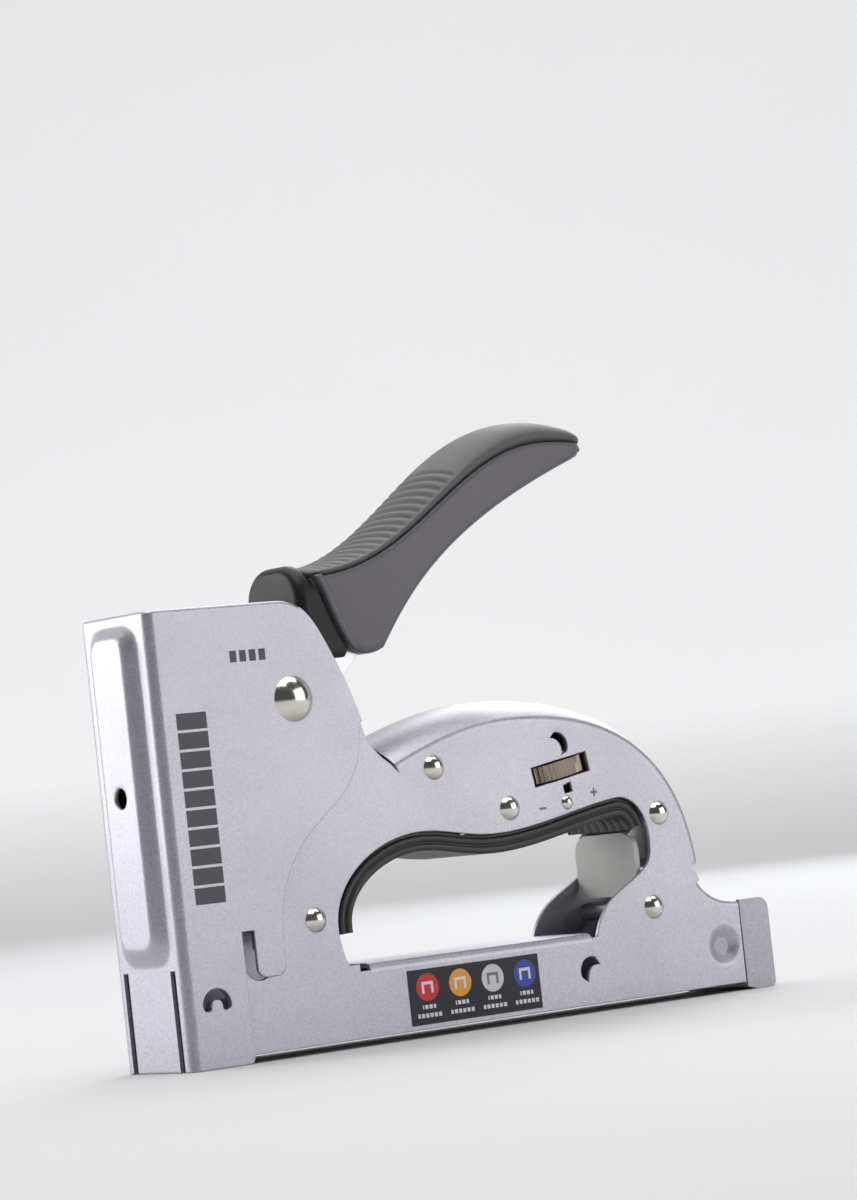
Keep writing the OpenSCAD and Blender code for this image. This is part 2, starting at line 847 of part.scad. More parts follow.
module power_limiter() {
  reach = 44;
  color([0.50, 0.51, 0.53]) difference() {
    slab(-1.5, 1.5) {
      translate(loop_rivet) circle(4.2);
      hull() {
        translate(loop_rivet) circle(1.8, $fn = 32);
        translate([wheel_at[0] + 1.2, wheel_at[1] - 7.7]) circle(1, $fn = 32);
      }
      hull() {
        translate(loop_rivet + [-1, 1.5]) circle(2.2, $fn = 32);
        translate(loop_rivet + [-reach, 4.8]) circle(1.8, $fn = 32);
      }
    }
    cross_bar(loop_rivet, sleeve_d + 2 * running, -3, 3);
    on_wheel_axis() cylinder(h = wheel_t + 2 * slip, d = wheel_d + 2 * slip, center = true);
  }
}

// ---- Finger loop ----

module finger_grip() {
  start_z = 27.5;
  rear_z = 45.4;
  rear_x = along(0.8366);
  flange = 1.4;
  color([0.20, 0.19, 0.19]) difference() {
    union() {
      slab(-shell_y + 0.6, shell_y - 0.6) intersection() {
        difference() {
          offset(delta = -0.2) loop_outline();
          offset(delta = -liner_t - 0.2) loop_outline();
        }
        liner_reach(start_z, rear_z, rear_x);
      }
      slab(-inner_y + 0.2, inner_y - 0.2) intersection() {
        difference() {
          offset(delta = flange) loop_outline();
          offset(delta = -0.4) loop_outline();
        }
        liner_reach(start_z, rear_z, rear_x);
      }
    }
    release_room();
  }
}

// Hollow behind the grip in which the magazine release swings
module release_room() {
  slab(-release_y - 0.6, release_y + 0.6) {
    translate(rear_rivet) circle(release_hub / 2 + 0.5);
    polygon([
      [release_x - 0.6, 38], [release_x - 0.6, 45], rear_rivet + [-4, -0.9],
      rear_rivet + [0, 2.6], rear_rivet + [8, 2.6], rear_rivet + [8, -10]
    ]);
  }
}

// Part of the loop's edge that the grip covers
module liner_reach(z0, z1, rear_x) {
  polygon([
    [loop_x - 5, z0], [loop_x - 5, 70], [rear_x + 5, 70], [rear_x + 5, z1],
    [rear_x - 7, z1], [rear_x - 12, z1 - 4], [70, z0]
  ]);
}

// ---- Magazine release ----

module magazine_release() {
  plate_x = release_x;
  plate_t = 1.6;
  plate_z = tail_rivet[1] + sleeve_d / 2 + 1;
  plate_y = inner_y - 0.6;
  color([0.70, 0.71, 0.70]) {
    difference() {
      translate([plate_x, 0, 0]) rotate([90, 0, 90]) linear_extrude(plate_t)
        translate([0, (plate_z + 44) / 2]) rounded_box(2 * plate_y, 44 - plate_z, 5);
      translate([plate_x - past, -plate_y - past, 40]) cube([past / 2, 1, 1]);
    }
    difference() {
      both_sides() slab(-release_y, -release_y + 1.8) {
        translate(rear_rivet) circle(release_hub / 2);
        polygon([
          [plate_x + 0.2, 43.5], [plate_x + 0.2, 36], [rear_rivet[0] + 1.5, 38],
          [rear_rivet[0] + 5.5, beam_h + 0.4], [rear_rivet[0] + 8.5, beam_h + 0.4],
          [rear_rivet[0] + 4.4, 47], [rear_rivet[0], 50], [rear_rivet[0] - 4, 46.5]
        ]);
      }
      cross_bar(rear_rivet, sleeve_d + 2 * running, -12, 12);
    }
  }
}

// ---- Magazine ----

module magazine_channel() {
  lip_y = inside_y + 0.1;
  lip_z = 2.3;
  color([0.62, 0.62, 0.65]) translate([magazine_x, 0, 0]) rotate([90, 0, 90])
    linear_extrude(magazine_end - magazine_x) difference() {
      union() {
        translate([-channel_y - channel_wall, lip_z])
          square([2 * channel_y + 2 * channel_wall, channel_top - lip_z]);
        translate([-lip_y, lip_z]) square([2 * lip_y, channel_wall]);
      }
      translate([-channel_y, 0]) square([2 * channel_y, channel_top - channel_wall]);
    }
}

module staple_rail() {
  color([0.55, 0.55, 0.58]) translate([guide_x, 0, 0]) rotate([90, 0, 90])
    linear_extrude(plug_x - guide_x) difference() {
      translate([-rail_y, rail_low]) square([2 * rail_y, rail_top - rail_low]);
      translate([-rail_y + rail_wall, rail_low - past])
        square([2 * rail_y - 2 * rail_wall, rail_top - rail_low - rail_wall + past]);
    }
}

module staple_pusher() {
  saddle_y = staple_w / 2 + 0.4;
  gap = 0.35;
  tongue_y = rail_y - rail_wall - gap;
  web_z = 2.6;
  color([0.30, 0.30, 0.32]) difference() {
    translate([pusher_x, -saddle_y, web_z]) cube([pusher_l, 2 * saddle_y, rail_top + staple_gap - web_z]);
    for (s = [0, 1])
      mirror([0, s, 0])
        translate([pusher_x - past, tongue_y, rail_low - gap])
          cube([pusher_l + 2 * past, rail_wall + 2 * gap, rail_top + 2 * gap - rail_low]);
    translate([pusher_x - past, -rail_y, rail_top - rail_wall - gap])
      cube([pusher_l + 2 * past, 2 * rail_y, rail_wall + 2 * gap]);
    translate([pusher_x - past, 0, rod_z]) rotate([0, 90, 0])
      cylinder(h = pusher_l + 2 * past, d = rod_d + 2 * running);
  }
}

module pusher_nut() {
  color([0.60, 0.60, 0.62]) translate([pusher_x - 2.2, 0, rod_z]) rotate([0, 90, 0])
    difference() {
      cylinder(h = 2, d = 5.6, $fn = 6);
      translate([0, 0, -past]) cylinder(h = 4, d = rod_d);
    }
}

module pusher_rod() {
  color([0.66, 0.66, 0.68]) translate([pusher_x - 2.6, 0, rod_z]) rotate([0, 90, 0])
    cylinder(h = cap_x + 3 - pusher_x + 2.6, d = rod_d);
}

module pusher_spring() {
  wire = 0.6;
  x0 = pusher_x + pusher_l + 0.4;
  x1 = magazine_end + 1.6;
  color([0.45, 0.45, 0.47]) translate([x0, 0, rod_z]) rotate([0, 90, 0])
    coil(rod_d + 2 * wire + 0.4, wire, 0, x1 - x0, 30, 12, 6);
}

module magazine_catch() {
  plug_y = inside_y - 0.2;
  r = 3;
  color([0.60, 0.61, 0.60]) difference() {
    union() {
      slab(-shell_y, shell_y) polygon(concat(
        [[cap_x + 0.3, 0.8], [cap_x + 0.3, cap_top]],
        arc([tail_x - r, cap_top - r], r, 90, 0, 6),
        arc([tail_x - 1.5, 1.5], 1.5, 0, -90, 4),
        [[cap_x + 3.5, 0]]
      ));
      translate([plug_x, -plug_y, 2.6]) cube([cap_x + 1 - plug_x, 2 * plug_y, beam_h - 3.6]);
    }
    translate([plug_x - past, 0, rod_z]) rotate([0, 90, 0])
      cylinder(h = cap_x + 3.3 - plug_x + past, d = rod_d);
  }
}

module spec_label() {
  color([0.29, 0.29, 0.33])
    translate([label_x, -shell_y - label_t, label_z]) cube([label_l, label_t, label_h]);
}

left_housing();
right_housing();
handle_crown();
nose_cover();
lever_pin();
housing_rivets();
spacer_sleeves();
index_pin();
driver_guide();
bumper();
drive_spring();
spring_cap();
driver_blade();
striker();
lever_core();
lever_head();
lever_shell();
lever_grip();
lever_return_spring();
power_wheel();
power_screw();
wheel_bridges();
power_limiter();
finger_grip();
magazine_release();
magazine_channel();
staple_rail();
staple_pusher();
pusher_nut();
pusher_rod();
pusher_spring();
magazine_catch();
spec_label();
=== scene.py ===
import math

import bmesh
import bpy
import numpy as np
from bpy.props import FloatProperty, FloatVectorProperty, IntProperty, PointerProperty
from mathutils import Matrix, Vector
from mathutils.geometry import delaunay_2d_cdt


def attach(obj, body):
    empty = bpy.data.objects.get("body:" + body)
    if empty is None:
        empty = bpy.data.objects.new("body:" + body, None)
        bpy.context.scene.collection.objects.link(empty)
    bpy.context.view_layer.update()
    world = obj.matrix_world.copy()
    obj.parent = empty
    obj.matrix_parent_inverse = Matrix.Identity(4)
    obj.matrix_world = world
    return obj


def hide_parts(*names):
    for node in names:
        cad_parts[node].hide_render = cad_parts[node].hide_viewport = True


bl_info = {
    "name": "Hand Tacker",
    "version": (1, 0, 0),
    "blender": (4, 5, 0),
    "location": "3D View > Sidebar > Tacker",
    "description": "Builds the looks of a pressed-steel hand tacker round its packed parts",
    "category": "Object",
}

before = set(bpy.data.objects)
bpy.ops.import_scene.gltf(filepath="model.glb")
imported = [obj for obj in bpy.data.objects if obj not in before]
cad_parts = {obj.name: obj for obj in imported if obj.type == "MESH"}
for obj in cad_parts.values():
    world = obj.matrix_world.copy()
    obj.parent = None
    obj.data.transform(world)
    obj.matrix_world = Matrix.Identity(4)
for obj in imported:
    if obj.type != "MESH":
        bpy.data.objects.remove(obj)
MM = 0.001
ROUND_STEPS = 4            # rows of points round one rounded rim
TINY = 1e-6                # slack when two places in millimetres are compared


# ---------------------------------------------------------------- settings

def length(name, description, millimetres):
    return FloatProperty(name=name, description=description, default=millimetres * MM,
                         min=0.0, unit="LENGTH", subtype="DISTANCE", precision=5)


def colour(name, description, rgb):
    return FloatVectorProperty(name=name, description=description, default=rgb, size=3,
                               min=0.0, max=1.0, subtype="COLOR")


class TackerSizes(bpy.types.PropertyGroup):
    head_h: length("Head height", "Height of the head above the work surface", 109.6)
    body_w: length("Body width", "Width across the nose cover", 30.0)
    head_l: length("Head length", "From the nose to the front end of the handle arch", 68.5)
    handle_l: length("Handle length", "Length of the handle arch", 91.8)
    tail_l: length("Tail length", "Length of the tail behind the handle arch", 21.7)
    arch_h: length("Arch height", "Height of the handle arch at its side edge", 75.7)
    cover_t: length("Cover sheet", "Thickness of the nose cover", 1.0)
    sheet: length("Housing sheet", "Thickness of the housing halves", 1.2)
    nose_bend: length("Nose bend", "Outside bend radius of the nose edges", 2.5)
    crown_front: length("Crown front", "Height of the handle's crown at its front end", 6.7)
    crown_rear: length("Crown rear", "Height of the handle's crown at the back", 3.2)
    beam_h: length("Beam height", "Height of the beam's top face", 20.0)
    foot_gap: length("Foot gap", "Gap under the beam", 2.0)
    lever_w: length("Lever width", "Width of the lever's plastic shell", 26.0)
    loop_x: length("Loop front", "Front end of the finger loop", 46.5)
    liner_t: length("Loop grip", "Thickness of the grip that lines the loop", 4.6)
    rib_out: length("Nose rib", "How far the pressed rib stands out of the nose", 2.8)
    rim_r: length("Sheet rim", "Radius of the rounded rims of the sheets", 0.28)
    crease_r: length("Crown crease", "Radius of the crease between a side and the crown", 2.2)
    grip_ribs: IntProperty(name="Grip ribs", description="Number of ribs across the soft grip",
                           default=19, min=4, max=60)
    rib_depth: length("Rib depth", "Depth of the hollows between the grip's ribs", 0.55)


class TackerColours(bpy.types.PropertyGroup):
    silver: colour("Silver paint", "Housing and nose cover", (0.50, 0.49, 0.545))
    grey: colour("Grey paint", "Magazine catch", (0.45, 0.442, 0.488))
    nickel: colour("Nickel", "Rivets and pivot pin", (0.74, 0.71, 0.66))
    wheel: colour("Wheel", "Knurled power wheel", (0.42, 0.36, 0.29))
    zinc: colour("Zinc", "Plated steel parts", (0.60, 0.60, 0.63))
    # Dark steel, kept darker than bare steel so that the kidney hole and slots onto the driver guide
    # show painted shade; the springs take it too.
    steel: colour("Hardened steel", "Striker, blade and guide", (0.16, 0.16, 0.17))
    shell: colour("Lever shell", "Moulded lower shell of the lever", (0.115, 0.108, 0.125))
    grip: colour("Soft grip", "Soft upper grip of the lever", (0.092, 0.090, 0.091))
    black: colour("Black plastic", "Lever head and bumper", (0.012, 0.012, 0.013))
    liner: colour("Loop grip", "Grip that lines the finger loop", (0.030, 0.027, 0.027))
    pale: colour("Pale plastic", "Magazine release", (0.50, 0.50, 0.48))
    ink: colour("Ink", "Marks printed on the paint", (0.045, 0.043, 0.060))
    label: colour("Label", "Ground of the specification label", (0.022, 0.021, 0.032))


# ---------------------------------------------------------------- curves, in millimetres

def at(x, z):
    return np.array([x, z], float)


def bez(a, b, c, d, n):
    """Points of a cubic curve from a to d, without d itself."""
    t = (np.arange(n) / n)[:, None]
    u = 1 - t
    return list(u ** 3 * a + 3 * u * u * t * b + 3 * u * t * t * c + t ** 3 * d)


def arc(c, r, a0, a1, n):
    """Points of an arc about c, its angles in degrees."""
    return [c + r * at(math.cos(a), math.sin(a))
            for a in np.radians(np.linspace(a0, a1, n + 1))]


def path_normals(path):
    """Unit vectors to the left of the path at each point."""
    p = np.array(path)
    d = np.empty_like(p)
    d[1:-1] = p[2:] - p[:-2]
    d[0], d[-1] = p[1] - p[0], p[-1] - p[-2]
    d /= np.linalg.norm(d, axis=1)[:, None]
    return np.stack([-d[:, 1], d[:, 0]], axis=1)


def shifted(path, distance):
    """The path moved to its left by a distance."""
    return list(np.array(path) + distance * path_normals(path))


def smoothstep(t):
    t = np.clip(t, 0, 1)
    return t * t * (3 - 2 * t)


def turns(a0, a1, n):
    """n angles from a0 to a1 degrees, in radians."""
    return np.linspace(math.radians(a0), math.radians(a1), n)


def traced(points, joint=False, rounded=True):
    """Points of a sheet's outline, each with its joint flag and its rounded flag."""
    return [(p, joint, rounded) for p in points]


def as_loop(points):
    """Flagged points as the three lists that Build.plate takes."""
    return tuple([point[i] for point in points] for i in range(3))


class Form:
    """The outlines of the tacker, worked out in millimetres from its sizes."""

    def __init__(self, sizes):
        for name in TackerSizes.__annotations__:
            value = getattr(sizes, name)
            setattr(self, name, value if isinstance(value, int) else value / MM)
        self.half_w = self.body_w / 2
        self.shell_y = self.half_w - self.cover_t
        self.inner_y = self.shell_y - self.sheet
        self.handle_end = self.head_l + self.handle_l
        self.tail_x = self.handle_end + self.tail_l
        self.cap_x = self.tail_x - 9.8
        self.cap_top = 23.4
        self.round_x = 38.0
        self.flap_x = 44.5
        self.slope = at(52, self.head_h - 12.6)
        self.neck = at(60, self.arch_h + 0.8)
        self.notch = at(self.head_l, self.arch_h - 8.7)
        self.arch_top = at(self.along(0.4), self.arch_h)
        self.shoulder = at(self.handle_end, 34)
        self.pivot = at(39.8, self.head_h - 24)
        self.rear_x = self.along(0.8366)
        self.rivets = [at(40, 32), at(self.along(0.125), self.arch_h - 10.1),
                       at(self.along(0.365), 53.5), at(self.along(0.88), 48),
                       at(self.along(0.826), 24.4)]
        self.wheel_at = at(self.along(0.553), self.arch_h - 13.9)
        self.wheel_tilt = 9.0
        self.tip = at(143, self.pivot[1] + 58)
        self.shell_front = self.pivot + at(11.7, 29.6)
        self.shell_nose = self.pivot + at(20.3, 11.8)
        self.groove_end = self.pivot + at(87.8, 59.6)

    def along(self, u):
        return self.head_l + u * self.handle_l

    def arch(self):
        top = self.arch_top
        return (bez(self.notch, self.notch + at(12, 4.9), top - at(13, 0), top, 40)
                + bez(top, top + at(30, 0), self.shoulder + at(-2.8, 31), self.shoulder, 60)
                + [self.shoulder])

    def head_edge(self):
        s = self.slope
        return (bez(at(self.round_x, self.head_h), at(self.round_x + 7.5, self.head_h),
                    s + at(-3.5, 7), s, 20)
                + bez(s, s + at(3.5, -7), self.neck + at(-1.6, 6), self.neck, 16))

    def tail_edge(self):
        s = self.shoulder
        end = at(self.cap_x, self.cap_top)
        return bez(s + at(-0.3, -4.6), s + at(1.5, -7.5), s + at(5, -10.5), end, 20) + [end]

    def loop(self):
        """The loop's edge from its front low corner over the top to its rear low corner."""
        x, rear = self.loop_x, self.rear_x
        u = self.along
        return (bez(at(x + 2, self.beam_h), at(x + 0.5, 23.5), at(x - 0.2, 27), at(x, 30), 8)
                + bez(at(x, 30), at(x + 0.3, 41), at(60, 50.2), at(u(0.06), 50.2), 30)
                + bez(at(u(0.06), 50.2), at(u(0.147), 50.2), at(u(0.212), 47.6), at(u(0.31), 47.6), 16)
                + bez(at(u(0.31), 47.6), at(u(0.452), 47.6), at(u(0.605), 52), at(u(0.724), 53), 24)
                + bez(at(u(0.724), 53), at(u(0.724) + 5.5, 54), at(rear, 49.5), at(rear, 42), 20)
                + bez(at(rear, 42), at(rear, 35.5), at(rear - 2, 34.5), at(rear - 6, 32.2), 10)
                + bez(at(rear - 6, 32.2), at(rear - 13, 28.5), at(rear - 17.5, 27),
                      at(rear - 20.3, 18.8), 16)
                + [at(rear - 20.3, 18.8)])

    def groove(self):
        p, end, tip = self.pivot, self.groove_end, self.tip
        return (bez(self.shell_front, p + at(43.7, 29.9), p + at(59, 60.1), end, 90)
                + bez(end, end + at(5, 0), tip + at(-5, 1.2), tip, 24) + [tip])

    def front_edge(self, gap):
        """The shell's front edge from its top down to its nose, moved forward by a gap."""
        p, move = self.pivot, at(gap, 0)
        return bez(self.shell_front - move, p + at(14.6, 26.2) - move, p + at(15.4, 18.6) - move,
                   self.shell_nose - move, 24) + [self.shell_nose - move]

    def underside(self):
        p, nose = self.pivot, self.shell_nose
        return (bez(nose, nose + at(2, -2.8), nose + at(7, -2.8), p + at(30.7, 10.7), 14)
                + bez(p + at(30.7, 10.7), p + at(41.9, 25.9), p + at(55.1, 40.3),
                      p + at(98.1, 55.4), 60)
                + [p + at(98.1, 55.4)])

    def crown_height(self, u):
        return self.crown_front + (self.crown_rear - self.crown_front) * u

    def grip_height(self, u):
        return 2.7 + 3.5 * abs(math.sin(math.pi * u ** 2.1)) ** 1.2

    def grip_y(self, x):
        d = np.maximum(0, x - (self.tip[0] - 8)) / 8
        return self.lever_w / 2 * np.sqrt(np.maximum(0.004, 1 - d * d))

    def kidney(self, grow):
        """Edge of the kidney-shaped peg hole near the foot: an arch over a round bite."""
        c, lobe, top = at(8.65, 14.9), 1.3 + grow, 4.05 + grow
        points = arc(c, top, 0, 180, 24)
        points += arc(c + at(-2.65, 0.1), lobe, 180, 300, 8)
        points += arc(c + at(0, -0.2), 1.7 - grow, 200, -20, 12)
        points += arc(c + at(2.65, 0.1), lobe, 240, 360, 8)
        return points


# ---------------------------------------------------------------- mesh building

class Build:
    """Vertices in millimetres and faces, gathered into one mesh."""

    def __init__(self):
        self.verts = []
        self.faces = []

    def add(self, points):
        start = len(self.verts)
        self.verts.extend([tuple(map(float, p)) for p in points])
        return start

    def grid(self, rows, closed=False):
        """Quads between rows of equal length."""
        n = len(rows[0])
        starts = [self.add(r) for r in rows]
        for a, b in zip(starts, starts[1:]):
            for i in range(n if closed else n - 1):
                j = (i + 1) % n
                self.faces.append((a + i, a + j, b + j, b + i))
        return starts

    def fill(self, loops, place):
        """Fills flat loops, the first the outline and the others holes."""
        flat, edges = [], []
        for loop in loops:
            start, n = len(flat), len(loop)
            flat += [Vector((float(p[0]), float(p[1]))) for p in loop]
            edges += [(start + i, start + (i + 1) % n) for i in range(n)]
        verts, _, faces, *_ = delaunay_2d_cdt(flat, edges, [], 1, 1e-7)
        start = self.add([place(v.x, v.y) for v in verts])
        corners = np.array([[(verts[i].x, verts[i].y) for i in f] for f in faces])
        keep = inside(corners.mean(axis=1), loops)
        self.faces += [tuple(start + i for i in f) for f, good in zip(faces, keep) if good]

    def plate(self, loops, thick, radius, place):
        """A flat sheet with rounded rims. Each loop is (points, joint flags, rounded flags)."""
        fronts, backs = [], []
        for k, (points, joints, rounds) in enumerate(loops):
            p, joint, rounded = oriented(np.array(points), joints, rounds, k > 0)
            inset = rim_normals(p, joint) * np.where(rounded, 1.0, 0.0)[:, None]
            profile = rim_profile(thick, radius)
            starts = []
            for back, depth in profile:
                q = p - inset * back
                starts.append(self.add([place(a, b, depth) for a, b in q]))
            n = len(p)
            for a, b in zip(starts, starts[1:]):
                for i in range(n):
                    if not joint[i]:
                        j = (i + 1) % n
                        self.faces.append((a + i, a + j, b + j, b + i))
            fronts.append(p - inset * profile[0][0])
            backs.append(p - inset * profile[-1][0])
        self.fill(fronts, lambda a, b: place(a, b, 0.0))
        self.fill(backs, lambda a, b: place(a, b, thick))

    def lathe(self, profile, place, steps=40):
        """Turns a profile of (radius, height) points; a zero radius closes it."""
        rows = []
        for r, h in profile:
            a = np.linspace(0, 2 * math.pi, steps, endpoint=False)
            rows.append([place(r * math.cos(t), r * math.sin(t), h) for t in a])
        self.grid(rows, closed=True)

    def object(self, name, sharp=38.0, weld=0.004):
        mesh = bpy.data.meshes.new(name)
        mesh.from_pydata([tuple(c * MM for c in v) for v in self.verts], [], self.faces)
        bm = bmesh.new()
        bm.from_mesh(mesh)
        bmesh.ops.remove_doubles(bm, verts=bm.verts, dist=weld * MM)
        bmesh.ops.dissolve_degenerate(bm, edges=bm.edges, dist=1e-7)
        loose = [v for v in bm.verts if not v.link_faces]
        bmesh.ops.delete(bm, geom=loose, context="VERTS")
        bmesh.ops.recalc_face_normals(bm, faces=bm.faces)
        bm.to_mesh(mesh)
        bm.free()
        mesh.shade_smooth()
        mesh.set_sharp_from_angle(angle=math.radians(sharp))
        piece = bpy.data.objects.new(name, mesh)
        bpy.context.scene.collection.objects.link(piece)
        weighted = piece.modifiers.new("Weighted", "WEIGHTED_NORMAL")
        weighted.keep_sharp = True
        weighted.weight = 80
        return piece


def inside(points, loops):
    """True where a point has an odd number of loop edges to its right."""
    odd = np.zeros(len(points), bool)
    for loop in loops:
        a = np.array(loop)
        b = np.roll(a, -1, axis=0)
        for (x0, y0), (x1, y1) in zip(a, b):
            if y0 != y1:
                across = (points[:, 1] < y0) != (points[:, 1] < y1)
                crossing = x0 + (x1 - x0) * (points[:, 1] - y0) / (y1 - y0)
                odd ^= across & (points[:, 0] < crossing)
    return odd


def oriented(p, joints, rounds, hole):
    """Turns a loop so that its metal lies to the left of its direction."""
    n = len(p)
    joint = np.zeros(n, bool) if joints is None else np.array(joints, bool)
    rounded = np.ones(n, bool) if rounds is None else np.array(rounds, bool)
    q = np.roll(p, -1, axis=0)
    area = np.sum(p[:, 0] * q[:, 1] - q[:, 0] * p[:, 1])
    if (area > 0) == hole:
        p, rounded = p[::-1], rounded[::-1]
        joint = np.roll(joint[::-1], -1)
    return p, joint, rounded


def rim_normals(p, joint):
    """Mitred normals that point away from the metal; an edge that is a joint doesn't count."""
    d = np.roll(p, -1, axis=0) - p
    d /= np.maximum(np.linalg.norm(d, axis=1), 1e-9)[:, None]
    n = np.stack([d[:, 1], -d[:, 0]], axis=1)
    before, joint_before = np.roll(n, 1, axis=0), np.roll(joint, 1)
    out = np.zeros_like(p)
    for i in range(len(p)):
        if joint[i] and joint_before[i]:
            continue
        if joint[i]:
            out[i] = before[i]
        elif joint_before[i]:
            out[i] = n[i]
        else:
            out[i] = (n[i] + before[i]) / max(0.35, 1 + float(n[i] @ before[i]))
    return out


def rim_profile(thick, radius):
    """(set back, depth) down a rim with two rounded edges."""
    r = min(radius, thick * 0.49)
    turn = [(r * (1 - math.sin(a)), r * (1 - math.cos(a)))
            for a in turns(0, 90, ROUND_STEPS)]
    return turn + [(back, thick - depth) for back, depth in reversed(turn)]


MATERIALS = {}             # each slot's material, filled by the first operator
WELD_WITHIN = 2e-6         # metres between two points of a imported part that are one
FLAT_WITHIN = 0.6          # degrees between faces that count as one flat face
BEVEL_ABOVE = 32.0         # degrees between faces whose edge is rounded
BEVEL_SEGMENTS = 3


def finished(piece, body, nodes, slot):
    """Gives a piece its material, its body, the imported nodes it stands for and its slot."""
    piece.data.materials.append(MATERIALS[slot])
    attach(piece, body)
    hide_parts(*nodes)
    return piece


def dressed(names, slot, bevel=0.0):
    """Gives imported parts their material, and rounds their edges by a width in millimetres."""
    for name in names:
        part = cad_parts[name]
        part.data.materials.clear()
        part.data.materials.append(MATERIALS[slot])
        weld = part.modifiers.new("Weld", "WELD")
        weld.merge_threshold = WELD_WITHIN
        if bevel > 0:
            flat = part.modifiers.new("Flat", "DECIMATE")
            flat.decimate_type = "DISSOLVE"
            flat.angle_limit = math.radians(FLAT_WITHIN)
            edge = part.modifiers.new("Bevel", "BEVEL")
            edge.width = bevel * MM
            edge.segments = BEVEL_SEGMENTS
            edge.limit_method = "ANGLE"
            edge.angle_limit = math.radians(BEVEL_ABOVE)
            edge.use_clamp_overlap = True
            edge.harden_normals = True


# ---------------------------------------------------------------- materials

def shared_group(name, inputs, outputs):
    """A new node group with its sockets, and the nodes that take its inputs and outputs."""
    tree = bpy.data.node_groups.new(name, "ShaderNodeTree")
    for label, kind, value in inputs:
        socket = tree.interface.new_socket(label, in_out="INPUT", socket_type=kind)
        if value is not None:
            socket.default_value = value
    for label, kind in outputs:
        tree.interface.new_socket(label, in_out="OUTPUT", socket_type=kind)
    return tree, tree.nodes.new("NodeGroupInput"), tree.nodes.new("NodeGroupOutput")


def node(tree, kind, links=(), **settings):
    """A node with its settings; links are (input, value or socket)."""
    made = tree.nodes.new(kind)
    for key, value in settings.items():
        setattr(made, key, value)
    for key, value in links:
        target = made.inputs[key]
        if isinstance(value, bpy.types.NodeSocket):
            tree.links.new(value, target)
        else:
            target.default_value = value
    return made


def maths(tree, operation, *values):
    """The result of a calculation on values or sockets."""
    return node(tree, "ShaderNodeMath", list(enumerate(values)), operation=operation).outputs[0]


def blended(tree, factor, a, b, kind="MIX"):
    """Two colours blended by a factor, each a value or a socket."""
    mix = node(tree, "ShaderNodeMix", data_type="RGBA", blend_type=kind)
    for index, value in ((0, factor), (6, a), (7, b)):
        if isinstance(value, bpy.types.NodeSocket):
            tree.links.new(value, mix.inputs[index])
        else:
            mix.inputs[index].default_value = value
    return mix.outputs[2]


def ranged(tree, value, low, high, to_low=0.0, to_high=1.0):
    """A value moved from one range to another, and held inside it."""
    links = [(0, value), (1, low), (2, high), (3, to_low), (4, to_high)]
    return node(tree, "ShaderNodeMapRange", links, clamp=True).outputs[0]


def noise(tree, coordinates, scale, detail=2.0, rough=0.5):
    return node(tree, "ShaderNodeTexNoise",
                [("Vector", coordinates), ("Scale", scale), ("Detail", detail),
                 ("Roughness", rough)]).outputs["Fac"]


def effect_group(name, roughness, setting):
    """A shared group that shades a colour; one setting of its own comes after the roughness."""
    tree, source, sink = shared_group(
        name,
        [("Colour", "NodeSocketColor", None), ("Roughness", "NodeSocketFloat", roughness), setting],
        [("Colour", "NodeSocketColor"), ("Roughness", "NodeSocketFloat"),
         ("Height", "NodeSocketFloat")])
    return tree, source, sink, node(tree, "ShaderNodeTexCoord").outputs["Object"]


def send_effect(tree, source, sink, shade, rough, height):
    """Multiplies the group's colour by a shade, and sends its three results out."""
    tone = node(tree, "ShaderNodeCombineColor", [(0, shade), (1, shade), (2, shade)]).outputs[0]
    colour_out = blended(tree, 1.0, source.outputs["Colour"], tone, "MULTIPLY")
    for name, result in (("Colour", colour_out), ("Roughness", rough), ("Height", height)):
        tree.links.new(result, sink.inputs[name])
    return tree


def edge_wear_group():
    """Mask of rounded edges, broken up by noise."""
    tree, source, sink = shared_group(
        "edge_wear", [("Width", "NodeSocketFloat", 0.0004), ("Amount", "NodeSocketFloat", 0.5)],
        [("Mask", "NodeSocketFloat")])
    place = node(tree, "ShaderNodeTexCoord").outputs["Object"]
    soft = node(tree, "ShaderNodeBevel", [("Radius", source.outputs["Width"])], samples=4)
    true = node(tree, "ShaderNodeNewGeometry").outputs["Normal"]
    dot = node(tree, "ShaderNodeVectorMath", [(0, soft.outputs[0]), (1, true)],
               operation="DOT_PRODUCT").outputs["Value"]
    bent = ranged(tree, dot, 0.995, 0.86)
    patchy = ranged(tree, noise(tree, place, 420.0, 4.0, 0.6), 0.42, 0.62)
    worn = maths(tree, "MULTIPLY", bent, patchy)
    tree.links.new(maths(tree, "MULTIPLY", worn, source.outputs["Amount"]), sink.inputs["Mask"])
    return tree


def paint_group():
    """Metallic paint: fine flakes, faint clouds and handling marks."""
    tree, source, sink, place = effect_group(
        "flake_paint", 0.4, ("Flake", "NodeSocketFloat", 2600.0))
    cells = node(tree, "ShaderNodeTexVoronoi",
                 [("Vector", place), ("Scale", source.outputs["Flake"])]).outputs["Color"]
    flake = node(tree, "ShaderNodeSeparateColor", [(0, cells)]).outputs[0]
    cloud = noise(tree, place, 55.0, 3.0)
    grain = noise(tree, place, 5200.0, 1.0)
    shade = maths(tree, "ADD", ranged(tree, flake, 0.0, 1.0, 0.84, 1.10),
                  ranged(tree, cloud, 0.3, 0.7, -0.02, 0.02))
    rub = ranged(tree, noise(tree, place, 24.0, 4.0, 0.6), 0.35, 0.7, -0.03, 0.05)
    rough = maths(tree, "ADD", maths(tree, "ADD", source.outputs["Roughness"], rub),
                  ranged(tree, flake, 0.0, 1.0, -0.05, 0.05))
    height = maths(tree, "ADD", maths(tree, "MULTIPLY", flake, 0.5),
                   maths(tree, "MULTIPLY", grain, 0.6))
    return send_effect(tree, source, sink, shade, rough, height)


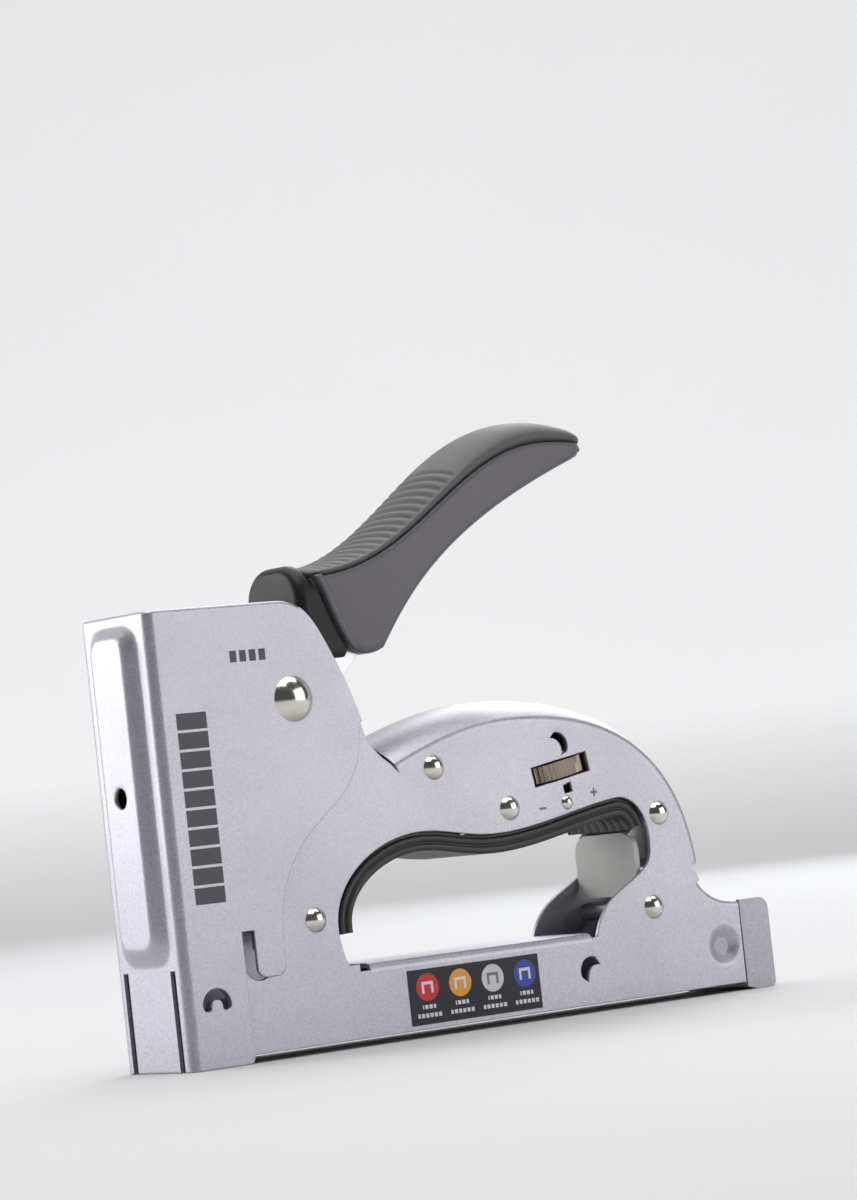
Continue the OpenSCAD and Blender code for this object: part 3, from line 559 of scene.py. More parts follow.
def metal_group():
    """Plated or ground steel: faint lay lines, spots and wiped patches."""
    tree, source, sink, place = effect_group(
        "worked_metal", 0.3, ("Lay", "NodeSocketVector", None))
    along = node(tree, "ShaderNodeVectorMath", [(0, place), (1, source.outputs["Lay"])],
                 operation="MULTIPLY").outputs[0]
    lines = noise(tree, along, 1.0, 4.0, 0.65)
    patch = noise(tree, place, 130.0, 4.0, 0.6)
    shade = maths(tree, "ADD", ranged(tree, lines, 0.3, 0.7, 0.93, 1.03),
                  ranged(tree, patch, 0.35, 0.7, -0.06, 0.04))
    rough = maths(tree, "ADD", source.outputs["Roughness"],
                  maths(tree, "ADD", ranged(tree, lines, 0.3, 0.7, -0.04, 0.06),
                        ranged(tree, patch, 0.4, 0.7, -0.02, 0.08)))
    return send_effect(tree, source, sink, shade, rough, lines)


def plastic_group():
    """Moulded plastic or rubber: spark-eroded grain and greasy wear."""
    tree, source, sink, place = effect_group(
        "moulded_grain", 0.5, ("Grain", "NodeSocketFloat", 2400.0))
    cells = node(tree, "ShaderNodeTexVoronoi",
                 [("Vector", place), ("Scale", source.outputs["Grain"])]).outputs["Distance"]
    fine = noise(tree, place, 3400.0, 2.0)
    wipe = noise(tree, place, 38.0, 4.0, 0.6)
    shade = maths(tree, "ADD", ranged(tree, wipe, 0.35, 0.7, 0.94, 1.05),
                  ranged(tree, fine, 0.3, 0.7, -0.04, 0.04))
    rough = maths(tree, "ADD", source.outputs["Roughness"],
                  ranged(tree, wipe, 0.35, 0.7, -0.05, 0.06))
    height = maths(tree, "ADD", maths(tree, "MULTIPLY", cells, 0.7),
                   maths(tree, "MULTIPLY", fine, 0.5))
    return send_effect(tree, source, sink, shade, rough, height)


# Prints on the paint and the label, in millimetres; a box is x or reach from and to, then z.
MARK_COLUMN = (5.6, 14.2, 39.0, 84.9)
MARK_ROW, MARK_ROW_SHARE = 4.62, 0.86
MARK_SQUARES = (22.6, 33.2, 95.6, 98.4)
MARK_STEP, MARK_STEP_SHARE = 2.8, 0.70
MARKS_OUTSIDE, SIGNS_OUTSIDE = -14.9, -13.9     # the prints lie further out than these
MINUS_SIGN = (111.2, 113.4, 52.2, 52.8)
PLUS_SIGN = ((127.9, 130.1, 54.9, 55.5), (128.7, 129.3, 54.1, 56.3))
LABEL_FROM, LABEL_PITCH, LABEL_DISC_Z = 65.6, 10.05, 12.3
LABEL_DISC = (3.45, 3.35)
STAPLE_OUTER, STAPLE_INNER = (-1.0, 1.75, -1.5, 1.4), (-1.0, 1.05, -2.0, 0.65)
LABEL_BARS = ((-1.0, 2.0, 7.0, 8.0), (-1.0, 3.7, 4.9, 5.9))
BAR_STEP, BAR_SHARE = 1.3, 0.72
DISC_COLOURS = ((0.62, 0.035, 0.045, 1.0), (0.80, 0.36, 0.05, 1.0), (0.66, 0.66, 0.70, 1.0),
                (0.05, 0.075, 0.42, 1.0))
PALE_DISC = 2.0            # number of the disc whose staple is drawn dark


def steps_of(tree, value, start, step):
    """How many steps a value lies past the start."""
    return maths(tree, "DIVIDE", maths(tree, "SUBTRACT", value, start), step)


def share_of(tree, steps, share):
    """1 over the first share of every step."""
    return maths(tree, "LESS_THAN", maths(tree, "FRACT", steps), share)


def box_mask(tree, x, z, x0, x1, z0, z1):
    """1 inside a rectangle, by four comparisons."""
    sides = [maths(tree, "GREATER_THAN", x, x0), maths(tree, "LESS_THAN", x, x1),
             maths(tree, "GREATER_THAN", z, z0), maths(tree, "LESS_THAN", z, z1)]
    mask = sides[0]
    for side in sides[1:]:
        mask = maths(tree, "MULTIPLY", mask, side)
    return mask


def millimetres(tree):
    """The object coordinates as three outputs in millimetres."""
    place = node(tree, "ShaderNodeTexCoord").outputs["Object"]
    split = node(tree, "ShaderNodeSeparateXYZ", [(0, place)])
    return [maths(tree, "MULTIPLY", split.outputs[i], 1000.0) for i in range(3)]


def marks_group():
    """Mask of the plain marks printed on the left side."""
    tree, _, sink = shared_group("printed_marks", [], [("Mask", "NodeSocketFloat")])
    x, y, z = millimetres(tree)
    rows = share_of(tree, steps_of(tree, z, MARK_COLUMN[2], MARK_ROW), MARK_ROW_SHARE)
    column = maths(tree, "MULTIPLY", box_mask(tree, x, z, *MARK_COLUMN), rows)
    steps = share_of(tree, steps_of(tree, x, MARK_SQUARES[0], MARK_STEP), MARK_STEP_SHARE)
    squares = maths(tree, "MULTIPLY", box_mask(tree, x, z, *MARK_SQUARES), steps)
    outer = maths(tree, "MULTIPLY", maths(tree, "ADD", column, squares),
                  maths(tree, "LESS_THAN", y, MARKS_OUTSIDE))
    plus = maths(tree, "MAXIMUM", *[box_mask(tree, x, z, *bar) for bar in PLUS_SIGN])
    signs = maths(tree, "MULTIPLY",
                  maths(tree, "MAXIMUM", box_mask(tree, x, z, *MINUS_SIGN), plus),
                  maths(tree, "LESS_THAN", y, SIGNS_OUTSIDE))
    faint = maths(tree, "MULTIPLY", signs, 0.8)
    tree.links.new(maths(tree, "MAXIMUM", outer, faint), sink.inputs["Mask"])
    return tree


def label_group():
    """Colours of the specification label: four discs with a staple sign and plain bars."""
    tree, source, sink = shared_group("label_art", [("Ground", "NodeSocketColor", None)],
                                      [("Colour", "NodeSocketColor")])
    x, _, z = millimetres(tree)
    cell = steps_of(tree, x, LABEL_FROM, LABEL_PITCH)
    column = maths(tree, "FLOOR", cell)
    dx = maths(tree, "MULTIPLY", maths(tree, "SUBTRACT", maths(tree, "FRACT", cell), 0.5),
               LABEL_PITCH)
    dz = maths(tree, "SUBTRACT", z, LABEL_DISC_Z)
    reach = maths(tree, "SQRT", maths(tree, "ADD", maths(tree, "MULTIPLY", dx, dx),
                                      maths(tree, "MULTIPLY", dz, dz)))
    disc = ranged(tree, reach, *LABEL_DISC)
    discs = len(DISC_COLOURS)
    step = maths(tree, "DIVIDE", maths(tree, "ADD", column, 0.5), float(discs))
    tints = node(tree, "ShaderNodeValToRGB", [(0, step)])
    ramp = tints.color_ramp
    ramp.interpolation = "CONSTANT"
    ramp.elements[1].position = 1 / discs
    for k in range(2, discs):
        ramp.elements.new(k / discs)
    for element, rgba in zip(ramp.elements, DISC_COLOURS):
        element.color = rgba
    art = blended(tree, disc, source.outputs["Ground"], tints.outputs[0])
    wide = maths(tree, "ABSOLUTE", dx)
    sign = maths(tree, "SUBTRACT", box_mask(tree, wide, dz, *STAPLE_OUTER),
                 box_mask(tree, wide, dz, *STAPLE_INNER))
    bars = maths(tree, "ADD", *[box_mask(tree, wide, z, *bar) for bar in LABEL_BARS])
    broken = share_of(tree, maths(tree, "DIVIDE", dx, BAR_STEP), BAR_SHARE)
    ink = maths(tree, "ADD", sign, maths(tree, "MULTIPLY", bars, broken))
    on_pale = maths(tree, "MULTIPLY", maths(tree, "COMPARE", column, PALE_DISC, 0.1), sign)
    drawn = blended(tree, maths(tree, "MINIMUM", ink, 1.0), art, (0.72, 0.72, 0.76, 1.0))
    drawn = blended(tree, on_pale, drawn, (0.20, 0.20, 0.24, 1.0))
    tree.links.new(drawn, sink.inputs["Colour"])
    return tree


def surface(name, group, rgb, settings, bump, metallic=0.0, coat=0.0, coat_rough=0.1,
            wear=None, sheen=0.0, ior=1.5, ink=None, art=None):
    """A Principled material fed by a shared group; bump is its strength and its millimetres."""
    made = bpy.data.materials.new(name)
    made.use_nodes = True
    tree = made.node_tree
    tree.nodes.clear()
    out = tree.nodes.new("ShaderNodeOutputMaterial")
    shader = node(tree, "ShaderNodeBsdfPrincipled")
    shader.inputs["Metallic"].default_value = metallic
    shader.inputs["Coat Weight"].default_value = coat
    shader.inputs["Coat Roughness"].default_value = coat_rough
    shader.inputs["Sheen Weight"].default_value = sheen
    shader.inputs["IOR"].default_value = ior
    tree.links.new(shader.outputs[0], out.inputs["Surface"])
    effect = node(tree, "ShaderNodeGroup", node_tree=group)
    effect.inputs["Colour"].default_value = (*rgb, 1.0)
    for label, value in settings.items():
        effect.inputs[label].default_value = value
    base = effect.outputs["Colour"]
    if wear is not None:
        amount, worn = wear
        mask = node(tree, "ShaderNodeGroup", node_tree=bpy.data.node_groups["edge_wear"])
        mask.inputs["Amount"].default_value = amount
        base = blended(tree, mask.outputs["Mask"], base, (*worn, 1.0))
    if ink is not None:
        marks = node(tree, "ShaderNodeGroup", node_tree=bpy.data.node_groups["printed_marks"])
        base = blended(tree, marks.outputs[0], base, (*ink, 1.0))
        shine = maths(tree, "MULTIPLY_ADD", marks.outputs[0], -metallic, metallic)
        tree.links.new(shine, shader.inputs["Metallic"])
    if art is not None:
        effect.inputs["Colour"].default_value = (1.0, 1.0, 1.0, 1.0)
        drawn = node(tree, "ShaderNodeGroup", node_tree=art)
        drawn.inputs["Ground"].default_value = (*rgb, 1.0)
        base = blended(tree, 1.0, base, drawn.outputs["Colour"], "MULTIPLY")
    tree.links.new(base, shader.inputs["Base Color"])
    tree.links.new(effect.outputs["Roughness"], shader.inputs["Roughness"])
    relief = node(tree, "ShaderNodeBump", [("Strength", bump[0]), ("Distance", bump[1] * MM),
                                           ("Height", effect.outputs["Height"])])
    tree.links.new(relief.outputs[0], shader.inputs["Normal"])
    return made


LAY_X = (60.0, 2500.0, 2500.0)    # scale of the lay lines along X
LAY_NONE = (900.0, 900.0, 900.0)  # the same scale every way, for turned parts


def make_materials(colours):
    """Every slot's material; a row is its group, its colour, its settings, its bump and the rest."""
    edge_wear_group()
    marks_group()
    paint, metal, plastic = paint_group(), metal_group(), plastic_group()
    bare = {"metallic": 1.0}
    rows = {
        "silver_paint": (
            paint, colours.silver, {"Roughness": 0.43}, (0.16, 0.06),
            {"metallic": 0.82, "coat": 0.2, "coat_rough": 0.30,
             "wear": (0.35, (0.62, 0.61, 0.63)), "ink": tuple(colours.ink)}),
        "grey_paint": (
            paint, colours.grey, {"Roughness": 0.45}, (0.14, 0.06),
            {"metallic": 0.35, "coat": 0.2, "coat_rough": 0.25, "wear": (0.3, (0.5, 0.5, 0.5))}),
        "polished_nickel": (
            metal, colours.nickel, {"Roughness": 0.13, "Lay": LAY_NONE}, (0.05, 0.02), bare),
        "knurled_nickel": (
            metal, colours.wheel, {"Roughness": 0.30, "Lay": LAY_NONE}, (0.10, 0.03), bare),
        "zinc_steel": (
            metal, colours.zinc, {"Roughness": 0.30, "Lay": LAY_X}, (0.10, 0.03), bare),
        # These two rows take the steel colour that is darkened to paint shade in the holes onto the
        # guide.
        "hardened_steel": (
            metal, colours.steel, {"Roughness": 0.36, "Lay": LAY_X}, (0.10, 0.03), bare),
        "spring_steel": (
            metal, colours.steel, {"Roughness": 0.32, "Lay": LAY_NONE}, (0.08, 0.03), bare),
        "black_rubber": (
            plastic, colours.black, {"Roughness": 0.62, "Grain": 1800.0}, (0.2, 0.08), {}),
        "black_plastic": (
            plastic, colours.black, {"Roughness": 0.44, "Grain": 3000.0}, (0.10, 0.05),
            {"ior": 1.36}),
        "grey_plastic": (
            plastic, colours.shell, {"Roughness": 0.40, "Grain": 2600.0}, (0.16, 0.06), {}),
        "soft_grip": (
            plastic, colours.grip, {"Roughness": 0.50, "Grain": 2000.0}, (0.22, 0.08),
            {"sheen": 0.1}),
        "dark_grip": (
            plastic, colours.liner, {"Roughness": 0.42, "Grain": 2200.0}, (0.2, 0.07), {}),
        "pale_plastic": (
            plastic, colours.pale, {"Roughness": 0.42, "Grain": 2600.0}, (0.12, 0.05), {}),
        "label_print": (
            plastic, colours.label, {"Roughness": 0.45, "Grain": 2600.0}, (0.04, 0.02),
            {"ior": 1.4, "art": label_group()}),
    }
    return {name: surface(name, group, rgb, settings, bump, **rest)
            for name, (group, rgb, settings, bump, rest) in rows.items()}


# ---------------------------------------------------------------- nose cover

def rounded_box_depth(y, z, z1, w, z0, r):
    """Distance inside a rounded rectangle from z0 up to z1, negative outside."""
    qy = abs(y) - (w / 2 - r)
    qz = abs(z - (z0 + z1) / 2) - ((z1 - z0) / 2 - r)
    outside = math.hypot(max(qy, 0), max(qz, 0))
    return r - outside - min(max(qy, qz), 0)


def rib_height(form, y, z):
    """How far the pressed rib stands out at a place on the nose."""
    top = form.head_h - 2.1
    base = rounded_box_depth(y, z, top, *RIB_BASE)
    crest = rounded_box_depth(y, z, top - 4, *RIB_CREST)
    if base <= 0:
        return 0.0
    t = base / (base - crest) if crest < 0 else 1.0
    low, high = smoothstep(RIB_FOOT_T), smoothstep(1 - RIB_FOOT_T)
    risen = smoothstep(t * 0.94 + RIB_FOOT_T) - low
    return form.rib_out * float(risen) / float(high - low)


def nose_columns(form):
    """Places and outward normals round the front of the cover in plan, left to right."""
    r, w = form.nose_bend, form.half_w
    edges = [side * y for side in (-1, 1) for y in (*SLIT_EDGES, PEG_REACH)]
    flat = np.unique(np.round(np.concatenate([np.linspace(-w + r, w - r, 51), edges]), 4))
    columns = [(r - r * math.sin(a), -w + r - r * math.cos(a), -math.sin(a), -math.cos(a))
               for a in turns(0, 90, 9)[:-1]]
    columns += [(0.0, float(y), -1.0, 0.0) for y in flat]
    columns += [(r - r * math.sin(a), w - r + r * math.cos(a), -math.sin(a), math.cos(a))
                for a in turns(90, 0, 9)[1:]]
    return columns


SLIT_EDGES = (9.3, 11.5)   # a slit's edges on either side of the middle
SLIT_TOP = 24.2
PEG_Z = 66.0               # height of the round peg hole's centre
PEG_REACH = 3.5            # half of the square patch that holds the peg hole
PEG_R = 2.5
PEG_ROUND = 0.45           # radius of the peg hole's rounded edge
RIB_BASE = (21.4, 25.3, 5.5)    # the rib's foot: width, lower end, corner radius
RIB_CREST = (12.6, 29.8, 3.5)   # the rib's flat crest, the same way
RIB_FOOT_T = 0.03          # where the rib's flank starts and ends on its smooth step


def nose_wrap(build, form, rows_z):
    """The front of the cover: both bends, the ribbed face, the slits and the peg hole."""
    columns = nose_columns(form)
    t = form.cover_t
    profile = rim_profile(t, form.rim_r)
    slit_in, slit_out = SLIT_EDGES

    def place(column, z, inset, lift=1.0):
        x, y, nx, ny = column
        out = rib_height(form, y, z) * lift if nx == -1.0 else 0.0
        return (x - nx * inset - out, y - ny * inset, z)

    outer = [[place(c, z, 0.0) for c in columns] for z in rows_z]
    inner = [[place(c, z, t) for c in columns] for z in rows_z]
    foot = [[place(c, back, depth) for c in columns] for back, depth in profile]
    middles = [abs(a[1] + b[1]) / 2 for a, b in zip(columns, columns[1:])]
    in_slit = [slit_in < y < slit_out for y in middles]
    in_peg = [y < PEG_REACH for y in middles]
    for rows in (outer, inner):
        starts = [build.add(r) for r in rows]
        for k, (a, b) in enumerate(zip(starts, starts[1:])):
            z = (rows_z[k] + rows_z[k + 1]) / 2
            for i in range(len(columns) - 1):
                cut = in_slit[i] and z < SLIT_TOP or in_peg[i] and abs(z - PEG_Z) < PEG_REACH
                if not cut:
                    build.faces.append((a + i, a + i + 1, b + i + 1, b + i))
    starts = [build.add(r) for r in foot]
    for a, b in zip(starts, starts[1:]):
        for i in range(len(columns) - 1):
            if not in_slit[i]:
                build.faces.append((a + i, a + i + 1, b + i + 1, b + i))
    low = [z for z in rows_z if z <= SLIT_TOP + TINY]
    for y in (-slit_out, -slit_in, slit_in, slit_out):
        column = (0.0, y, -1.0, 0.0)
        ring = [place(column, z, 0.0) for z in reversed(low)]
        ring += [place(column, back, depth) for back, depth in profile]
        ring += [place(column, z, t) for z in low]
        n, m = len(low), len(ring)
        start = build.add(ring)
        for k in range(n - 1):
            build.faces.append((start + k, start + k + 1, start + m - 2 - k, start + m - 1 - k))
        build.faces.append(tuple(range(start + n - 1, start + m - n + 1)))
    for side in (-1, 1):
        ends = [(0.0, side * y, -1.0, 0.0) for y in SLIT_EDGES]
        build.grid([[place(c, SLIT_TOP, depth) for c in ends] for depth in (0.0, t)])
    peg_hole(build, form, rows_z, columns)
    top_rows = []
    for a in turns(0, 90, 6):
        z = form.head_h - t + t * math.sin(a)
        top_rows.append([place(c, z, t * (1 - math.cos(a)), 0.0) for c in columns])
    build.grid(top_rows)
    for row, z in ((top_rows[-1], form.head_h), (inner[-1], form.head_h - t)):
        build.fill([[(p[0], p[1]) for p in row]], lambda a, b, z=z: (a, b, z))


def peg_hole(build, form, rows_z, columns):
    """The round peg hole in the rib's flat crest."""
    ys = [c[1] for c in columns if c[2] == -1.0 and abs(c[1]) <= PEG_REACH + TINY]
    zs = [z for z in rows_z if abs(z - PEG_Z) <= PEG_REACH + TINY]
    square = ([(y, zs[0]) for y in ys[:-1]] + [(ys[-1], z) for z in zs[:-1]]
              + [(y, zs[-1]) for y in reversed(ys[1:])] + [(ys[0], z) for z in reversed(zs[1:])])

    def ring(r):
        return arc(at(0, PEG_Z), r, 0, 360, 40)[:-1]

    front = -form.rib_out
    back = front + form.cover_t
    build.fill([square, ring(PEG_R + PEG_ROUND)], lambda a, b: (front, a, b))
    build.fill([square, ring(PEG_R)], lambda a, b: (back, a, b))
    rows = [[(front + PEG_ROUND * (1 - math.cos(s)), y, z)
             for y, z in ring(PEG_R + PEG_ROUND * (1 - math.sin(s)))]
            for s in turns(0, 90, 5)]
    rows.append([(back, y, z) for y, z in ring(PEG_R)])
    build.grid(rows, closed=True)


def cover_side(form, rows_z, flap):
    """Outline of one side of the cover with its joint and rounding flags."""
    seam, tab, slot_w, slot_z = 17.8, 29.5, 3.4, 31.4
    foot_r, tab_r, tab_z = 1.5, 2.5, 22.5
    join, waist = at(58.3, form.neck[1] + 1.5), at(47, 58)
    under_flap = shifted(flap, -form.cover_t)
    rest = [p for p in form.head_edge() if p[0] >= flap[-1][0] - TINY]
    points = traced([at(form.nose_bend, 0)], True)
    points += traced([at(form.nose_bend, z) for z in rows_z], True, False)
    points += traced(under_flap[1:-1], True, False)
    points += traced(under_flap[-1:], False, False)
    points += traced([p for p in rest if p[1] > join[1]])
    points += traced(bez(join, join + at(-0.5, -12), at(52, 61.5), waist, 20))
    points += traced(bez(waist, at(36, 50.3), at(tab, 42), at(tab, 28), 30))
    points += traced(arc(at(tab - tab_r, tab_z), tab_r, 0, -90, 10))
    points += traced(arc(at(seam + slot_w + tab_r, tab_z), tab_r, -90, -180, 10))
    points += traced([at(seam + slot_w, slot_z), at(seam, slot_z)])
    points += traced(arc(at(seam - foot_r, foot_r), foot_r, 0, -90, 8))
    return as_loop(points)


def build_cover(form):
    build = Build()
    h, t, w = form.head_h, form.cover_t, form.half_w
    edges = [form.rim_r, SLIT_TOP, PEG_Z - PEG_REACH, PEG_Z + PEG_REACH]
    levels = np.unique(np.round(np.concatenate([np.linspace(0.6, h - t, 200), edges]), 4))
    rows_z = [float(z) for z in levels if z <= h - t + TINY]
    flap = [at(form.nose_bend, h), at(form.round_x, h)]
    flap += [p for p in form.head_edge()[1:] if p[0] < form.flap_x]
    nose_wrap(build, form, rows_z)
    side = cover_side(form, rows_z, flap)
    kidney = (form.kidney(0), None, None)
    for s in (-1, 1):
        build.plate([side, kidney], t, form.rim_r, lambda a, b, d, s=s: (a, s * (w - d), b))
    rows = []
    for p, n in zip(flap, path_normals(flap)):
        ring = []
        for a in turns(0, 90, 6):
            off, y = -t + t * math.sin(a), w - t + t * math.cos(a)
            ring.append((p[0] + n[0] * off, -y, p[1] + n[1] * off))
        ring += [(x, -y, z) for x, y, z in reversed(ring)]
        inner = [(p[0] - n[0] * t, y, p[1] - n[1] * t) for y in (w - t, t - w)]
        rows.append(ring + inner)
    starts = [build.add(r) for r in rows]
    m = len(rows[0])
    for a, b in zip(starts, starts[1:]):
        for i in list(range(m - 3)) + [m - 2]:
            build.faces.append((a + i, a + i + 1, b + i + 1, b + i))
    build.faces.append(tuple(range(starts[-1], starts[-1] + m)))
    return build.object("cover_visual")


# ---------------------------------------------------------------- housing

WINDOW = (9.0, 2.5)        # half the length and half the height of the wheel's window
MARK_SLOT = (-0.35, 2.15, -6.2, -3.8)   # the index slot below the window, from the wheel
SIDE_BEND = 2.2            # bend radius over the beam
TAIL_BEND = 1.6            # bend radius round the tail
DIMPLE_AT = (166.2, 12.2)
DIMPLE_R = 5.6
DIMPLE_DIP = 1.9
FIT = 0.05                 # gap between the halves and the cover round them


def half_housing(form, s):
    """One pressed half: side plate, beam flange and tail flange; s is -1 left and 1 right."""
    build = Build()
    t, y0, bend = form.sheet, form.shell_y, SIDE_BEND
    flange_z = form.beam_h - bend
    x0, x1 = form.loop_x + 8, form.rear_x - 22
    tail, loop = form.tail_edge(), form.loop()
    outline = half_outline(form, tail)
    step_x, step_z = x0 - 3.0, form.beam_h - 1.7
    opening = traced(loop + [at(x1, loop[-1][1])]) + traced([at(x1, flange_z)], True, False)
    opening += traced([at(x0, flange_z)], False, False)
    opening += traced([at(x0, step_z), at(step_x, step_z), at(step_x, form.beam_h)])
    tilt = math.radians(form.wheel_tilt)
    c, sn = math.cos(tilt), math.sin(tilt)

    def on_wheel(dx, dz):
        return form.wheel_at + at(dx * c - dz * sn, dx * sn + dz * c)

    def slot(x_low, x_high, z_low, z_high):
        return [on_wheel(x_low, z_low), on_wheel(x_high, z_low),
                on_wheel(x_high, z_high), on_wheel(x_low, z_high)]

    half_l, half_h = WINDOW
    gap = [at(21.5, 31.4), at(17.9, 31.4), at(17.9, 22.3), at(18.6, 22.3)]
    gap += arc(at(22.2, 23.4), 4, 196, 360, 20) + [at(26.2, 25), at(21.5, 27)]
    upper = crescent(form.wheel_at + at(-0.4, 6), 3.4, 1.6, -12)
    lower = crescent(at(form.along(0.586), 10.5), 3.6, 2.1, 90)
    cuts = (slot(-half_l, half_l, -half_h, half_h), slot(*MARK_SLOT), form.kidney(0.1), gap,
            upper, lower)
    dimple = arc(at(*DIMPLE_AT), DIMPLE_R, 0, 360, 48)[:-1]
    holes = [opening] + [traced(cut) for cut in cuts] + [traced(dimple, True, False)]
    loops = [as_loop(points) for points in [outline] + holes]
    build.plate(loops, t, form.rim_r, lambda a, b, d: (a, s * (y0 - d), b))
    cx, cz = DIMPLE_AT
    for depth in (0.0, t):
        rows = []
        for k in np.linspace(1, 0, 12):
            y = y0 - depth - DIMPLE_DIP * float(smoothstep((1 - k) * 1.25))
            rows.append([(cx + (p[0] - cx) * k, s * y, cz + (p[1] - cz) * k) for p in dimple])
        build.grid(rows, closed=True)
    section = [(y0, flange_z)] + [(y0 - bend + bend * math.cos(a), flange_z + bend * math.sin(a))
                                  for a in turns(0, 90, 9)[1:]]
    section += [(0.0, form.beam_h), (0.0, form.beam_h - t)]
    section += [(y0 - bend + (bend - t) * math.cos(a), flange_z + (bend - t) * math.sin(a))
                for a in turns(90, 0, 5)]
    strip(build, [[(x, s * y, z) for y, z in section] for x in np.linspace(x0, x1, 8)])
    rows = []
    for p, n in zip(tail, path_normals(tail)):
        ring = [(y0 - TAIL_BEND + TAIL_BEND * math.cos(a), -TAIL_BEND + TAIL_BEND * math.sin(a))
                for a in turns(0, 90, 7)]
        ring += [(0.0, 0.0), (0.0, -t), (y0 - TAIL_BEND - 0.02, -t), (y0 - t, -TAIL_BEND)]
        rows.append([(p[0] + n[0] * off, s * y, p[1] + n[1] * off) for y, off in ring])
    strip(build, rows)
    return build.object("left_half" if s < 0 else "right_half")


def half_outline(form, tail):
    """Outer edge of a half from its low front corner over the head, the arch and the tail."""
    front, top = form.nose_bend + FIT, form.head_h - form.cover_t - FIT
    head = [p - at(0, form.cover_t + FIT) if p[0] < 46 else p for p in form.head_edge()]
    neck, notch = form.neck, form.notch
    step = bez(neck, neck + at(1, -3.7), notch + at(-4.5, 2.3), notch + at(-0.3, 0.1), 10)
    low = shifted(tail, -TAIL_BEND)
    outline = traced([at(front, form.foot_gap), at(front, top)] + head + step)
    outline += traced(shifted(form.arch(), -2.0), False, False)
    outline += traced([tail[0] + at(0.2, 0.5)])
    outline += traced(low[:-1], True, False) + traced(low[-1:], False, False)
    return outline + traced([at(form.cap_x, form.foot_gap)])


def strip(build, rows):
    """A swept section whose last edge is left open, with both ends closed."""
    m = len(rows[0])
    starts = [build.add(r) for r in rows]
    for a, b in zip(starts, starts[1:]):
        for i in range(m - 1):
            build.faces.append((a + i, a + i + 1, b + i + 1, b + i))
    build.faces.append(tuple(range(starts[0], starts[0] + m)))
    build.faces.append(tuple(range(starts[-1], starts[-1] + m)))


def crescent(c, r, w, turn):
    """A crescent-shaped slot: a disc less the same disc moved diagonally."""
    outer = [at(r * math.cos(a), r * math.sin(a)) for a in np.radians(np.linspace(-20, 110, 16))]
    inner = [at(-w + r * math.cos(a), -w + r * math.sin(a))
             for a in np.radians(np.linspace(100, -10, 14))]
    t = math.radians(turn)
    spin = np.array([[math.cos(t), -math.sin(t)], [math.sin(t), math.cos(t)]])
    return [c + spin @ p for p in outer + inner]


def build_crown(form):
    build = Build()
    t, w, crease = form.sheet, form.shell_y, form.crease_r
    path = form.arch()
    rows = []
    for i, (p, n) in enumerate(zip(path, path_normals(path))):
        h = form.crown_height(i / (len(path) - 1))
        outer = crown_half(w, h, crease)
        inner = crown_half(w - t, h - t, max(crease - t, 0.4))
        full = [(-y, z) for y, z in outer] + [(y, z) for y, z in reversed(outer[:-1])]
        back = [(y, z) for y, z in inner] + [(-y, z) for y, z in reversed(inner[:-1])]
        rows.append([(p[0] + n[0] * z, y, p[1] + n[1] * z) for y, z in full + back])
    m = len(rows[0])
    half = len(full)
    first = rounded_end(rows[0], path[1] - path[0], form.rim_r)
    last = rounded_end(rows[-1], path[-2] - path[-1], form.rim_r)
    rows = list(reversed(first)) + rows[1:-1] + last
    starts = build.grid(rows, closed=True)
    for start in (starts[0], starts[-1]):
        for i in range(half - 1):
            a, b = start + i, start + i + 1
            c, d = start + m - 1 - i, start + m - 2 - i
            build.faces.append((a, b, d, c))
    return build.object("crown_visual", sharp=50.0)


def crown_half(w, h, crease):
    """Half a section of the crown from its skirt up to the middle, as (y, height)."""
    big = (w * w + h * h) / (2 * h)
    cy = w - crease
    cz = (h - big) + math.sqrt((big - crease) ** 2 - cy * cy)
    start = math.atan2(cz - (h - big), cy)
    points = [(w, -2.0)] + [(cy + crease * math.cos(a), cz + crease * math.sin(a))
                            for a in np.linspace(0, start, 9)]
    points += [(big * math.cos(a), h - big + big * math.sin(a))
               for a in np.linspace(start, math.pi / 2, 15)[1:]]
    return points


def rounded_end(ring, inward, radius):
    """Rows that round off the end of a sheet section, from full size to the end face."""
    step = np.array([inward[0], 0, inward[1]])
    step /= np.linalg.norm(step)
    ring = np.array(ring)
    towards = ring[::-1] - ring
    towards /= np.maximum(np.linalg.norm(towards, axis=1), 1e-9)[:, None]
    return [list(ring + step * radius * (1 - math.sin(a)) + towards * radius * (1 - math.cos(a)))
            for a in turns(0, 90, ROUND_STEPS)]


# ---------------------------------------------------------------- lever

